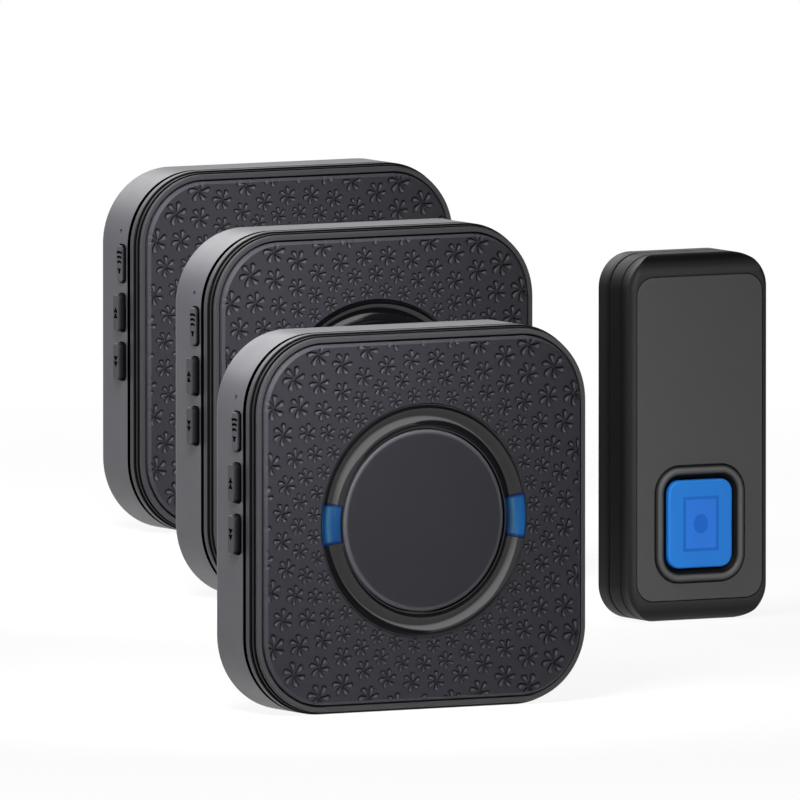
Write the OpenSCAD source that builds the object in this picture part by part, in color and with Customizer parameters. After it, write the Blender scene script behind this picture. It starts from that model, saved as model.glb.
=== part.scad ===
// Wireless doorbell set: three square chimes that stand on a table, and one push-button transmitter.
// Each unit is drawn in a face frame: x to the right, y up and z to the front, with z = 0 at its back
// and y = 0 at half its height. The set stands on the plane z = 0 with its faces towards -Y.

/* [Set] */
// Middle chime: step to the right of the front chime
middle_right = 128; // [60:1:180]
// Middle chime: step behind the front chime
middle_behind = 254; // [220:1:320]
// Back chime: step to the right of the front chime
back_right = 198; // [80:1:260]
// Back chime: step behind the front chime
back_behind = 419; // [370:1:520]
// Transmitter: step to the right of the front chime
transmitter_right = 165; // [120:1:220]
// Transmitter: step behind the front chime
transmitter_behind = 159; // [60:1:190]

/* [Chime housing] */
// Width and height of the chime
chime_w = 88; // [84:1:110]
// Corner radius of the chime
chime_r = 18; // [15:0.5:22]
// Depth of the rear case
case_depth = 14; // [14:0.5:20]
// Dark gap between the rear case and the front cover
seam_gap = 0.7; // [0.3:0.1:1]
// Depth of the front cover, seam to face
cover_depth = 5.4; // [5.3:0.1:7]
// Wall of the rear case
case_wall = 2; // [1.6:0.1:2.4]
// Rounding of the rear edge
rear_edge_r = 1.5; // [0.8:0.1:1.5]
// Rounding of the edges at the seam
seam_edge_r = 0.35; // [0.2:0.05:0.5]

/* [Front cover] */
// Height of the lip beside the seam
lip_h = 2.1; // [1.8:0.1:2.4]
// Height of the narrow band in front of the lip
band_h = 0.9; // [0.7:0.1:1.1]
// Setback of the narrow band
band_in = 0.4; // [0.3:0.05:0.6]
// Width of the grooves between lip, band and rim
groove_w = 0.32; // [0.2:0.02:0.4]
// Depth of those grooves behind the lip
groove_in = 1; // [0.8:0.1:1.2]
// Setback of the front rim
rim_in = 0.7; // [0.5:0.05:0.9]
// Width of the front rim, seen from the front
rim_w = 1.3; // [1:0.1:1.6]
// Height of the face plate above the front rim
plate_rise = 1; // [0.7:0.1:1.2]
// Thickness of the cover's front wall
cover_wall = 1.6; // [1.2:0.1:1.8]

/* [Face plate] */
// Thickness of the face plate
plate_t = 1.8; // [1.5:0.1:2]
// Groove between the front rim and the face plate
plate_gap = 0.4; // [0.3:0.05:0.6]
// Chamfer of the face plate
plate_chamfer = 0.65; // [0.4:0.05:0.9]

/* [Ring and disc] */
// Outer radius of the glossy ring
ring_r = 27; // [24:0.5:30]
// Radius of the opening for the centre disc
ring_bore_r = 21.4; // [18:0.2:22]
// Depth of the ring's trough
trough_depth = 1.6; // [1.2:0.1:1.8]
// Flat land beside the trough
ring_land = 0.25; // [0.15:0.05:0.4]
// Half the angle that a light window covers, in degrees
window_half_angle = 11.4; // [8:0.2:16]
// Rounding of the disc's edge
disc_edge_r = 1; // [0.6:0.1:1.2]

/* [Side keys] */
// Length of a side key
key_l = 9; // [7:0.2:10]
// Width of a side key
key_w = 3.3; // [2.6:0.1:3.8]
// Distance between neighbouring keys
key_pitch = 11.9; // [11.6:0.1:14]
// Distance of the volume key below the chime's round corner
volume_key_drop = 4.2; // [4:0.2:10]
// Distance of the keys behind the seam
key_behind_seam = 3.1; // [2.9:0.1:4]
// Height of the volume key above the wall
volume_key_proud = 0.8; // [0.4:0.1:1.2]
// Height of the up and down keys above the wall
arrow_key_proud = 1.8; // [1:0.1:2.4]
// Travel of a side key
key_travel = 0.5; // [0.3:0.1:0.6]
// Gap between a side key and its slot
key_gap = 0.3; // [0.2:0.05:0.4]
// Height of the small reset hole above the volume key
reset_hole_up = 7.8; // [6.6:0.2:9]
// Radius of the reset hole
reset_hole_r = 0.5; // [0.3:0.1:0.7]

/* [Chime inside] */
// Diameter of a battery
cell_d = 10.5; // [10:0.1:10.6]
// Length of a battery
cell_l = 44.5; // [43:0.5:45]
// Room for the contacts at each end of the cells
contact_room = 2.6; // [2:0.1:3]
// Thickness of the battery door
door_t = 1.6; // [1.4:0.1:1.8]
// Radius of the speaker
speaker_r = 16; // [13:0.5:16.5]
// Height of the speaker
speaker_h = 7.5; // [6:0.5:9]
// Thickness of the chime's circuit board
board_t = 1.2; // [1:0.1:1.4]
// Distance of the case screws from the chime's sides
screw_inset = 11; // [10:0.5:11.5]
// Radius of the keyhole's round opening
keyhole_r = 3.75; // [3.4:0.05:4]
// Radius of the keyhole's narrow slot
keyhole_slot_r = 1.9; // [1.6:0.1:2.2]

/* [Transmitter] */
// Height of the transmitter
tx_h = 87; // [84:1:100]
// Width of the transmitter
tx_w = 37.3; // [34:0.1:42]
// Corner radius of the transmitter
tx_r = 8.3; // [7.5:0.1:9.5]
// Depth of the wall plate
wall_plate_depth = 5.5; // [4.5:0.1:7]
// Depth of the rear shell
rear_shell_depth = 5.5; // [5.3:0.1:7]
// Depth of the front shell
front_shell_depth = 4.6; // [4.4:0.1:6]
// Gap at the transmitter's seams
tx_seam = 0.3; // [0.2:0.05:0.5]
// Wall of the transmitter's shells
tx_wall = 1.6; // [1.4:0.1:2]
// Setback of the rounded top and bottom at the front
end_round = 4.4; // [3.5:0.1:5]
// Depth of that rounding, from the front backwards
end_drop = 4; // [3.4:0.1:4.2]
// Rounding of the front edge at the sides
side_round = 1.5; // [1:0.1:2]
// Thickness of the grey face panel
panel_t = 1; // [0.8:0.1:1.2]
// Corner radius of the face panel
panel_r = 4.6; // [3.5:0.1:6]
// Gap between the panel and the shell
panel_gap = 0.25; // [0.15:0.05:0.3]

/* [Push button] */
// Width of the push button
button_w = 17.3; // [15:0.1:18]
// Height of the push button
button_h = 20.9; // [18:0.1:22]
// Corner radius of the push button
button_r = 3.1; // [2.5:0.1:4]
// Width of the bezel round the button
bezel_w = 3.3; // [2.8:0.1:3.6]
// Height of the bezel above the panel
bezel_rise = 0.8; // [0.5:0.1:1.2]
// Height of the button's centre above the transmitter's lower end
button_up = 23.1; // [22:0.1:26]
// Travel of the push button
button_travel = 0.6; // [0.4:0.1:0.6]
// Height of the button above the panel
button_rise = 0.6; // [0.2:0.1:0.8]
// Distance between the wall plate's screw holes
wall_hole_pitch = 52; // [40:1:60]
// Radius of the wall plate's screw holes
wall_hole_r = 1.8; // [1.5:0.1:2.2]

/* [Clearances] */
// Clearance round pieces that slide
slide_clear = 0.2; // [0.15:0.05:0.3]
// Clearance between pieces that are fitted together
fit_clear = 0.15; // [0.1:0.05:0.2]

/* [Hidden] */
$fn = 64;
CHIMES = ["front_chime", "middle_chime", "back_chime"];
CHIME_PIECES = [
    "rear_case", "front_cover", "face_plate", "ring_trim", "light_windows", "centre_disc",
    "volume_key", "up_key", "down_key", "circuit_board", "speaker", "battery_door", "batteries",
    "battery_contacts", "case_screws"
];
TRANSMITTER_PIECES = [
    "front_shell", "face_panel", "button_bezel", "push_button", "button_seal", "case_gasket",
    "rear_shell", "circuit_board", "coin_cell", "case_screws", "wall_plate"
];
NODES = concat(
    [for (unit = CHIMES) for (piece = CHIME_PIECES) str(unit, "_", piece)],
    [for (piece = TRANSMITTER_PIECES) str("transmitter_", piece)]
);
node = "all";

// Overshoot of a cut through a face
over = 0.5;

// Chime, levels along z
chime_half = chime_w / 2;
cover_z = case_depth + seam_gap;
face_z = cover_z + cover_depth;
plate_seat_z = face_z - plate_t;
cover_back_z = plate_seat_z - cover_wall;
rim_z = face_z - plate_rise;
band_z = cover_z + lip_h + groove_w;
rim_back_z = band_z + band_h + groove_w;

// Rear wall of the case laps into its side walls
floor_inset = (case_wall + rear_edge_r) / 2;

// Front cover and face plate, seen from the front
cover_side_wall = 2.6;
tongue_t = 0.9;
tongue_h = 1.8;
plate_inset = rim_in + rim_w + plate_gap;
plate_w = chime_w - 2 * plate_inset;

// Ring, windows and disc
ring_seat_w = 1.2;
ring_floor = 1.1;
ring_body_r = ring_r - ring_seat_w;
ring_ledge_r = ring_bore_r - 2.4;
ring_back_z = face_z - trough_depth - ring_floor;
trough_half = (ring_r - ring_bore_r) / 2 - ring_land;
trough_mid_r = (ring_r + ring_bore_r) / 2;
trough_arc_r = (trough_half * trough_half + trough_depth * trough_depth) / (2 * trough_depth);
window_gap_angle = 0.35;
disc_r = ring_bore_r - fit_clear;
lamp_size = 3;

// Side keys
key_z = case_depth - key_behind_seam;
key_r = 1;
key_edge_r = 0.4;
key_flange = 0.9;
key_flange_t = 0.8;
key_stem_r = 0.9;
key_seat_gap = 0.1;
reset_hole_behind = 1.3;
volume_key_y = chime_half - chime_r - volume_key_drop;
key_heights = [volume_key_y, volume_key_y - key_pitch, volume_key_y - 2 * key_pitch];
switch_gap = 5;
switch_depth = 3.6;
switch_w = 6;
switch_below_key = 2.2;
switch_pocket_r = key_stem_r + slide_clear;
stem_start = 0.1;
switch_pocket_depth = key_travel + stem_start + 0.4;
switch_x = -chime_half + case_wall + switch_gap;
tongue_notch = key_l / 2 + key_flange + 0.5;

// Battery bay and door
cell_count = 3;
cell_pitch = cell_d + 0.4;
cell_side = 0.3;
cell_tip_r = 1.9;
cell_tip_h = 1;
bay_wall = 1;
bay_foot = 2.2;
bay_l = cell_l + 2 * contact_room;
bay_h = cell_count * cell_pitch + 2 * cell_side;
bay_y0 = -chime_half + case_wall + bay_foot;
bay_y1 = bay_y0 + bay_h;
cell_z = case_wall + 0.2 + cell_d / 2;
bay_top_z = cell_z + cell_d / 2 + 0.2;
door_gap = 0.25;
door_w = bay_l - 2 * door_gap;
door_nose_r = door_t / 2;
door_axis_y = bay_y0 + door_gap + door_nose_r;
door_axis_z = door_nose_r;
door_top_y = bay_y1 - door_gap;
hook_w = 8;
hook_x = 15;
hook_t = 1;
hook_reach = 1.6;
hook_z = case_wall + slide_clear;
hook_room = 2.4;
latch_w = 10;
latch_t = 1.2;
latch_h = 2.4;
latch_gap = 0.5;
thumb_r = 6;
thumb_deep = 1;
thumb_reach = 3;
grip_pitch = 1.6;
grip_w = 0.6;
grip_deep = 0.4;
contact_t = 0.4;
contact_w = 8;
contact_bump_r = 2.4;

// Circuit board, speaker and screws of the chime
board_z = max(case_depth + 0.2, bay_top_z + bay_wall + 0.3);
board_lap = 0.4;
board_side_gap = 14;
board_foot = 18;
board_head = 16;
board_left = switch_x + board_lap;
board_right = chime_half - board_side_gap;
board_low = -chime_half + board_foot;
board_high = chime_half - board_head;
stake_side = 7.6;
stake_inset = 2;
stake_low = 4;
stake_high = 3;
stake_xs = [board_left + stake_side, board_right - stake_inset];
stake_ys = [board_low + stake_low, board_high - stake_high];
stake_head = 0.4;
stake_r = 2.4;
stake_pin_r = 1.1;
chip_w = 9;
chip_l = 7;
chip_h = 1.8;
lamp_gap = 0.4;
speaker_seat_t = 1.2;
speaker_seat_h = 3;
speaker_rim_w = 3;
speaker_rim_t = 1.2;
cone_depth = 1.6;
basket_r = 0.6 * speaker_r;
magnet_r = 0.55 * speaker_r;
basket_h = 0.55 * speaker_h;
speaker_y = bay_y1 + bay_wall + 0.8 + speaker_r + fit_clear + speaker_seat_t;
grille_count = 5;
grille_pitch = 4.6;
grille_slot_r = 1;
boss_at = chime_half - screw_inset;
boss_r = 3.4;
boss_z = case_depth - 2.5;
post_r = 3;
screw_hole_r = 1.5;
screw_pilot_r = 1.3;
screw_r = 1.2;
screw_head_r = 2.6;
screw_head_h = 1.8;
screw_sink_r = screw_head_r + 0.3;
screw_sink = 3;
screw_tip_z = cover_back_z - 1;
drive_w = 0.7;
drive_l = 3.2;
drive_deep = 0.9;
keyhole_run = 5;
keyhole_y = chime_half - case_wall - 1 - keyhole_slot_r - keyhole_run;

// Transmitter, levels along z
rear_z = wall_plate_depth + tx_seam;
gasket_z = rear_z + rear_shell_depth;
shell_z = gasket_z + tx_seam;
panel_z = shell_z + front_shell_depth;
panel_seat_z = panel_z - panel_t;
shell_wall = 1.6;
shell_back_z = panel_seat_z - shell_wall;
panel_w = tx_w - 2 * side_round;
panel_edge = 0.5;
panel_h = tx_h - 2 * (end_round + panel_edge);
end_crease = 8;
end_arc_r = (end_round * end_round + end_drop * end_drop)
    / (2 * (end_drop * cos(end_crease) - end_round * sin(end_crease)));

// Button, bezel and seal
button_below = tx_h / 2 - button_up;
well_w = button_w + 2 * slide_clear;
well_h = button_h + 2 * slide_clear;
well_r = button_r + slide_clear;
bead_r = 1.15;
bead_in = 1.25;
shelf_drop = 0.6;
seal_t = 0.8;
seal_w = 2;
flange_w = 1.8;
flange_t = 0.8;
flange_z = shell_back_z - seal_t - 0.05;
button_edge_r = 0.6;
button_stem_r = 1.2;

// Inside of the transmitter
floor_t = 1.2;
tx_board_t = 1.2;
tx_board_z = rear_z + floor_t + 1.4;
tx_board_front = tx_board_z + tx_board_t;
tx_board_side = 5;
tx_boss_side = 6;
tx_boss_end = 6.5;
tx_board_w = tx_w - 2 * tx_board_side;
tx_boss_x = tx_w / 2 - tx_boss_side;
tx_boss_y = tx_h / 2 - tx_boss_end;
tx_boss_r = 2.8;
tx_boss_z = rear_z + 3.2;
tx_board_end = 0.8;
tx_board_h = 2 * (tx_boss_y - tx_boss_r - tx_board_end);
tx_stake_in = 3;
tx_stake_x = tx_board_w / 2 - tx_stake_in;
tx_stake_y = tx_board_h / 2 - tx_stake_in;
tx_stake_r = 1.8;
tx_stake_pin_r = 0.8;
tx_screw_r = 0.9;
tx_pilot_r = 1;
tx_screw_hole_r = 1.15;
tx_head_r = 1.8;
tx_head_h = 1.1;
tx_sink = 1.5;
spigot_t = 0.9;
spigot_h = 1.8;
tx_switch_w = 6;
tx_switch_h = 1.6;
tx_pocket_r = button_stem_r + slide_clear;
tx_pocket_depth = button_travel + stem_start + 0.3;
coin_r = 10;
coin_t = 3.2;
coin_drop = 29.5;
coin_y = tx_h / 2 - coin_drop;
coin_lift = 0.4;
coin_step = 0.5;
coin_step_in = 1.2;
coin_contact_r = 4;
holder_w = 6;
holder_t = 0.5;
plate_wall = 2;
gasket_in = 0.6;
gasket_w = 0.6;

// Box of the set, with the front chime's back at the middle of its lower edge
units_x = [0, middle_right, back_right];
units_y = [0, middle_behind, back_behind];
set_left = min(units_x) - chime_half - max(arrow_key_proud, volume_key_proud);
set_right = max(max(units_x) + chime_half, transmitter_right + tx_w / 2);
set_front = min(min(units_y) - face_z, transmitter_behind - panel_z - bezel_rise);
set_rear = max(max(units_y), transmitter_behind);
set_x = (set_left + set_right) / 2;
set_y = (set_front + set_rear) / 2;

// Outlines and edges

// Rectangle with round corners, centred
module rounded(w, h, r) {
    square([w, h - 2 * r], center = true);
    square([w - 2 * r, h], center = true);
    for (sx = [-1, 1])
        for (sy = [-1, 1])
            translate([sx * (w / 2 - r), sy * (h / 2 - r)])
                circle(r);
}

// Prism of a rounded rectangle between two levels
module block(w, h, r, z0, z1) {
    translate([0, 0, z0])
        linear_extrude(z1 - z0)
            rounded(w, h, r);
}

// Carries a profile round a rounded rectangle: its x is measured outwards from the outline, its y is z
module around(w, h, r) {
    for (k = [0:3]) {
        side = k % 2 == 0;
        rotate(k * 90) {
            translate([side ? w / 2 : h / 2, 0, 0])
                rotate([90, 0, 0])
                    linear_extrude(side ? h - 2 * r : w - 2 * r, center = true)
                        children();
            translate([(side ? w / 2 : h / 2) - r, (side ? h / 2 : w / 2) - r, 0])
                rotate_extrude(angle = 90)
                    translate([r, 0])
                        children();
        }
    }
}

// Waste outside a round corner: the corner lies at the origin, the material towards +x and +y
module corner_waste(r) {
    difference() {
        translate([-over, -over])
            square(r + over);
        translate([r, r])
            circle(r);
    }
}

// Profile of a strip with its outer edges rounded, from x0 to x1 and from y0 to y1
module strip(x0, x1, y0, y1, low_r, high_r) {
    difference() {
        translate([x0, y0])
            square([x1 - x0, y1 - y0]);
        translate([x1, y0])
            mirror([1, 0])
                corner_waste(low_r);
        translate([x1, y1])
            rotate(180)
                corner_waste(high_r);
    }
}

// Slab with a rounded front edge
module slab(w, h, r, z0, z1, edge_r) {
    block(w - 2 * edge_r, h - 2 * edge_r, r - edge_r, z0, z1);
    around(w, h, r)
        intersection() {
            translate([-2 * edge_r, z0])
                square([2 * edge_r, z1 - z0]);
            strip(-3 * edge_r, 0, z0 - edge_r, z1, edge_r / 4, edge_r);
        }
}

// Straight slot with round ends, from -l/2 to l/2
module slot(l, r) {
    square([l - 2 * r, 2 * r], center = true);
    for (sx = [-1, 1])
        translate([sx * (l / 2 - r), 0])
            circle(r);
}

// Cylinder between two levels
module post(r, z0, z1) {
    translate([0, 0, z0])
        cylinder(r = r, h = z1 - z0);
}

// Tube between two levels
module tube(r_out, r_in, z0, z1) {
    difference() {
        post(r_out, z0, z1);
        post(r_in, z0 - over, z1 + over);
    }
}

// Puts a child at each of four mirrored places
module at_four(x, y) {
    for (sx = [-1, 1])
        for (sy = [-1, 1])
            translate([sx * x, sy * y, 0])
                children();
}

// Screw with a round head and a cross recess, head towards the back
module screw(r, head_r, head_h, seat_z, tip_z, drive) {
    post(r, seat_z, tip_z);
    difference() {
        post(head_r, seat_z - head_h, seat_z);
        for (turn = [0, 90])
            rotate(turn)
                translate([-drive / 2, -drive_w / 2, seat_z - head_h - over])
                    cube([drive, drive_w, drive_deep + over]);
    }
}

// Turns a child so that its z points out of the chime's left wall at a height
module at_left_wall(y, z) {
    translate([-chime_half, y, z])
        rotate([0, -90, 0])
            children();
}

// Chime

module rear_case() {
    color([0.13, 0.13, 0.14])
        difference() {
            union() {
                around(chime_w, chime_w, chime_r)
                    strip(-case_wall, 0, 0, case_depth, rear_edge_r, seam_edge_r);
                block(chime_w - 2 * floor_inset, chime_w - 2 * floor_inset, chime_r - floor_inset, 0,
                      case_wall);
                at_four(boss_at, boss_at)
                    post(boss_r, 0, boss_z);
                for (x = stake_xs)
                    for (y = stake_ys)
                        translate([x, y, 0]) {
                            post(stake_r, 0, board_z);
                            post(stake_pin_r, 0, board_z + board_t + stake_head);
                        }
                translate([0, speaker_y, 0])
                    tube(speaker_r + fit_clear + speaker_seat_t, speaker_r + fit_clear, case_wall - 0.1,
                         case_wall + speaker_seat_h);
                bay_shell();
            }
            bay_space();
            at_four(boss_at, boss_at) {
                post(screw_hole_r, -over, boss_z + over);
                post(screw_sink_r, -over, screw_sink);
            }
            grille();
            keyhole();
            for (y = key_heights)
                at_left_wall(y, key_z)
                    block(key_w + 2 * key_gap, key_l + 2 * key_gap, key_r + key_gap, -case_wall - over, over);
            at_left_wall(volume_key_y + reset_hole_up, key_z - reset_hole_behind)
                post(reset_hole_r, -case_wall - over, over);
        }
}

// Walls and roof round the battery bay
module bay_shell() {
    translate([-bay_l / 2 - bay_wall, bay_y0 - bay_wall, 0])
        cube([bay_l + 2 * bay_wall, bay_h + 2 * bay_wall, bay_top_z + bay_wall]);
}

// Space of the battery bay, with room for the door's hooks, latch and a thumb
module bay_space() {
    translate([-bay_l / 2, bay_y0, -over])
        cube([bay_l, bay_h, bay_top_z + over]);
    for (sx = [-1, 1])
        translate([sx * hook_x - hook_w / 2 - slide_clear, bay_y0 - bay_wall - over, case_wall])
            cube([hook_w + 2 * slide_clear, bay_wall + 2 * over, hook_room]);
    translate([0, bay_y1, -over])
        intersection() {
            cylinder(r = thumb_r, h = over + thumb_deep);
            translate([-thumb_r, -over, 0])
                cube([2 * thumb_r, thumb_reach + over, over + thumb_deep]);
        }
}

module grille() {
    for (k = [0:grille_count - 1]) {
        y = (k - (grille_count - 1) / 2) * grille_pitch;
        half = sqrt(pow(speaker_r - speaker_rim_w, 2) - y * y);
        translate([0, speaker_y + y, -over])
            linear_extrude(case_wall + 2 * over)
                slot(2 * half, grille_slot_r);
    }
}

// Round opening for a screw head with a narrow slot above it
module keyhole() {
    translate([0, keyhole_y, 0]) {
        post(keyhole_r, -over, case_wall + over);
        translate([0, keyhole_run / 2, -over])
            linear_extrude(case_wall + 2 * over)
                rotate(90)
                    slot(keyhole_run + 2 * keyhole_slot_r, keyhole_slot_r);
    }
}

module front_cover() {
    color([0.14, 0.14, 0.15])
        difference() {
            union() {
                around(chime_w, chime_w, chime_r)
                    cover_profile();
                block(chime_w - 2 * groove_in, chime_w - 2 * groove_in, chime_r - groove_in, cover_back_z,
                      plate_seat_z);
                at_four(boss_at, boss_at)
                    post(post_r, boss_z, cover_back_z + 0.1);
            }
            at_four(boss_at, boss_at)
                post(screw_pilot_r, boss_z - over, screw_tip_z + 0.4);
            post(ring_body_r + fit_clear, cover_back_z - over, plate_seat_z + over);
            translate([-chime_half, key_heights[2] - tongue_notch, cover_z - tongue_h - over])
                cube([case_wall + fit_clear + tongue_t + over, 2 * (key_pitch + tongue_notch),
                      tongue_h + over]);
        }
}

// Rim of the front cover: lip, narrow band and front rim with grooves between them, and the tongue
module cover_profile() {
    strip(-cover_side_wall, 0, cover_z, cover_z + lip_h, seam_edge_r, seam_edge_r);
    translate([-cover_side_wall, cover_z + seam_edge_r])
        square([cover_side_wall - groove_in, plate_seat_z - cover_z - seam_edge_r]);
    translate([-rim_in - rim_w, plate_seat_z - over])
        square([rim_in + rim_w - groove_in, rim_z - plate_seat_z - seam_edge_r + over]);
    strip(-cover_side_wall + 0.2, -band_in, band_z, band_z + band_h, seam_edge_r / 2, seam_edge_r / 2);
    difference() {
        strip(-rim_in - rim_w, -rim_in, rim_back_z, rim_z, seam_edge_r / 2, seam_edge_r);
        translate([-rim_in - rim_w, rim_z])
            rotate(-90)
                corner_waste(seam_edge_r / 2);
    }
    translate([-case_wall - fit_clear - tongue_t, cover_z - tongue_h])
        square([tongue_t, tongue_h + lip_h]);
}

module face_plate() {
    color([0.17, 0.17, 0.18])
        difference() {
            union() {
                block(plate_w - 2 * plate_chamfer, plate_w - 2 * plate_chamfer,
                      chime_r - plate_inset - plate_chamfer, plate_seat_z, face_z);
                around(plate_w, plate_w, chime_r - plate_inset)
                    polygon([
                        [-2 * plate_chamfer, plate_seat_z],
                        [0, plate_seat_z],
                        [0, face_z - plate_chamfer],
                        [-plate_chamfer, face_z],
                        [-2 * plate_chamfer, face_z]
                    ]);
            }
            post(ring_r + fit_clear, plate_seat_z - over, face_z + over);
        }
}

// Cross-section of the ring with its concave trough, from an inner radius outwards
module ring_section(inner_r) {
    difference() {
        union() {
            translate([inner_r, ring_back_z])
                square([ring_body_r - inner_r, face_z - ring_back_z]);
            translate([inner_r, plate_seat_z])
                square([ring_r - inner_r, plate_t]);
        }
        translate([trough_mid_r, face_z - trough_depth + trough_arc_r])
            circle(trough_arc_r);
    }
}

module ring_trim() {
    color([0.05, 0.05, 0.06])
        difference() {
            union() {
                rotate_extrude()
                    ring_section(ring_bore_r);
                tube(ring_bore_r + 0.1, ring_ledge_r, ring_back_z, plate_seat_z);
            }
            for (turn = [0, 180])
                rotate(turn - window_half_angle)
                    rotate_extrude(angle = 2 * window_half_angle)
                        translate([ring_bore_r + ring_land, ring_back_z - over])
                            square([ring_r - ring_bore_r, face_z - ring_back_z + 2 * over]);
        }
}

module light_windows() {
    color([0.1, 0.4, 0.8])
        for (turn = [0, 180])
            rotate(turn - window_half_angle + window_gap_angle)
                rotate_extrude(angle = 2 * (window_half_angle - window_gap_angle))
                    ring_section(ring_bore_r + ring_land + fit_clear);
}

module centre_disc() {
    color([0.12, 0.12, 0.13])
        rotate_extrude()
            intersection() {
                translate([0, plate_seat_z])
                    square([disc_r, plate_t]);
                strip(-disc_r, disc_r, plate_seat_z - disc_edge_r, face_z, disc_edge_r / 4, disc_edge_r);
            }
}

// Side key: cap through the wall, flange behind it and a stem to the switch
module side_key(y, proud) {
    color([0.1, 0.1, 0.11])
        at_left_wall(y, key_z) {
            flange_top = -case_wall - key_seat_gap;
            slab(key_w, key_l, key_r, flange_top, proud, key_edge_r);
            block(key_w + 2 * key_flange, key_l + 2 * key_flange, key_r, flange_top - key_flange_t,
                  flange_top);
            post(key_stem_r, -case_wall - switch_gap - stem_start, flange_top);
        }
}

module volume_key() {
    side_key(key_heights[0], volume_key_proud);
}

module up_key() {
    side_key(key_heights[1], arrow_key_proud);
}

module down_key() {
    side_key(key_heights[2], arrow_key_proud);
}

module circuit_board() {
    color([0.05, 0.3, 0.15])
        difference() {
            union() {
                translate([board_left, board_low, board_z])
                    cube([board_right - board_left, board_high - board_low, board_t]);
                for (y = key_heights)
                    translate([switch_x, y - switch_w / 2, key_z - switch_below_key])
                        cube([switch_depth, switch_w, board_z + board_t - key_z + switch_below_key]);
                for (sx = [-1, 1])
                    translate([sx * trough_mid_r - lamp_size / 2, -lamp_size / 2, board_z])
                        cube([lamp_size, lamp_size, ring_back_z - lamp_gap - board_z]);
                translate([board_left + chip_w, speaker_y - chip_l / 2, board_z - chip_h])
                    cube([chip_w, chip_l, chip_h + board_t]);
            }
            for (y = key_heights)
                at_left_wall(y, key_z)
                    post(switch_pocket_r, -case_wall - switch_gap - switch_pocket_depth,
                         -case_wall - switch_gap + over);
            for (x = stake_xs)
                for (y = stake_ys)
                    translate([x, y, 0])
                        post(stake_pin_r + fit_clear, board_z - over, board_z + board_t + over);
        }
}

// Speaker with its flange on the rear wall, a dished basket and a round magnet
module speaker() {
    color([0.3, 0.3, 0.32])
        translate([0, speaker_y, case_wall])
            rotate_extrude()
                polygon([
                    [0, cone_depth],
                    [speaker_r - speaker_rim_w, 0],
                    [speaker_r, 0],
                    [speaker_r, speaker_rim_t],
                    [speaker_r - speaker_rim_w / 2, speaker_rim_t],
                    [basket_r, basket_h],
                    [magnet_r, basket_h],
                    [magnet_r, speaker_h],
                    [0, speaker_h]
                ]);
}

// Door with a round nose at its lower edge, two hooks under the case and a spring latch at the top
module battery_door() {
    color([0.12, 0.12, 0.13]) {
        difference() {
            translate([-door_w / 2, door_axis_y, 0])
                cube([door_w, door_top_y - door_axis_y, door_t]);
            for (k = [-1:1])
                translate([-thumb_r, door_top_y - thumb_r + grip_pitch * k, -over])
                    cube([2 * thumb_r, grip_w, over + grip_deep]);
        }
        translate([-door_w / 2, door_axis_y, door_axis_z])
            rotate([0, 90, 0])
                cylinder(r = door_nose_r, h = door_w);
        for (sx = [-1, 1])
            translate([sx * hook_x - hook_w / 2, 0, 0]) {
                translate([0, bay_y0 - hook_reach, hook_z])
                    cube([hook_w, hook_reach + door_gap + 1.5, hook_t]);
                translate([0, bay_y0 + door_gap + 0.5, door_t / 2])
                    cube([hook_w, 1, hook_z + hook_t - door_t / 2]);
            }
        translate([-latch_w / 2, door_top_y - latch_gap - latch_t, door_t / 2])
            cube([latch_w, latch_t, latch_h]);
    }
}

// Height of a battery cell above the chime's centre
function cell_y(k) = bay_y0 + cell_side + (k + 0.5) * cell_pitch;

// Battery cells side by side, the middle one the other way round
module batteries() {
    for (k = [0:cell_count - 1])
        translate([0, cell_y(k), cell_z])
            rotate([0, k % 2 == 0 ? 90 : -90, 0])
                cell();
}

module cell() {
    color([0.75, 0.6, 0.3])
        translate([0, 0, -cell_l / 2]) {
            cylinder(r = cell_d / 2, h = cell_l - cell_tip_h);
            cylinder(r = cell_tip_r, h = cell_l);
        }
}

// Contact plates at both ends of the bay: single plates at the ends of the chain, double ones between
module battery_contacts() {
    contact(-1, 0, 0);
    contact(-1, 1, 2);
    contact(1, 0, 1);
    contact(1, 2, 2);
}

// One plate on an end wall, from one cell to another, with a bump for each cell
module contact(side, first, last) {
    y0 = cell_y(first) - contact_w / 2;
    y1 = cell_y(last) + contact_w / 2;
    x = side * (bay_l / 2 - contact_t / 2);
    color([0.8, 0.8, 0.78]) {
        translate([x - contact_t / 2, y0, cell_z - contact_w / 2])
            cube([contact_t, y1 - y0, contact_w]);
        for (k = [first:last])
            translate([side * bay_l / 2, cell_y(k), cell_z])
                rotate([0, -side * 90, 0])
                    cylinder(r1 = contact_bump_r, r2 = contact_bump_r / 2, h = contact_room - fit_clear);
    }
}

module chime_screws() {
    color([0.55, 0.55, 0.57])
        at_four(boss_at, boss_at)
            screw(screw_r, screw_head_r, screw_head_h, screw_sink, screw_tip_z, drive_l);
}

// Transmitter

// Outer form of the front shell: a slab with round edges, and its top and bottom cut to a wide arc that
// meets the flat front at a small angle
module front_shell_form() {
    difference() {
        slab(tx_w, tx_h, tx_r, shell_z, panel_z, side_round);
        for (turn = [0, 180])
            rotate(turn)
                translate([0, tx_h / 2 - end_round - end_arc_r * sin(end_crease),
                           panel_z - end_arc_r * cos(end_crease)])
                    rotate([90, 0, 90])
                        linear_extrude(tx_w + 2 * over, center = true)
                            difference() {
                                square(end_arc_r + tx_r);
                                circle(end_arc_r);
                            }
    }
}

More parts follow.
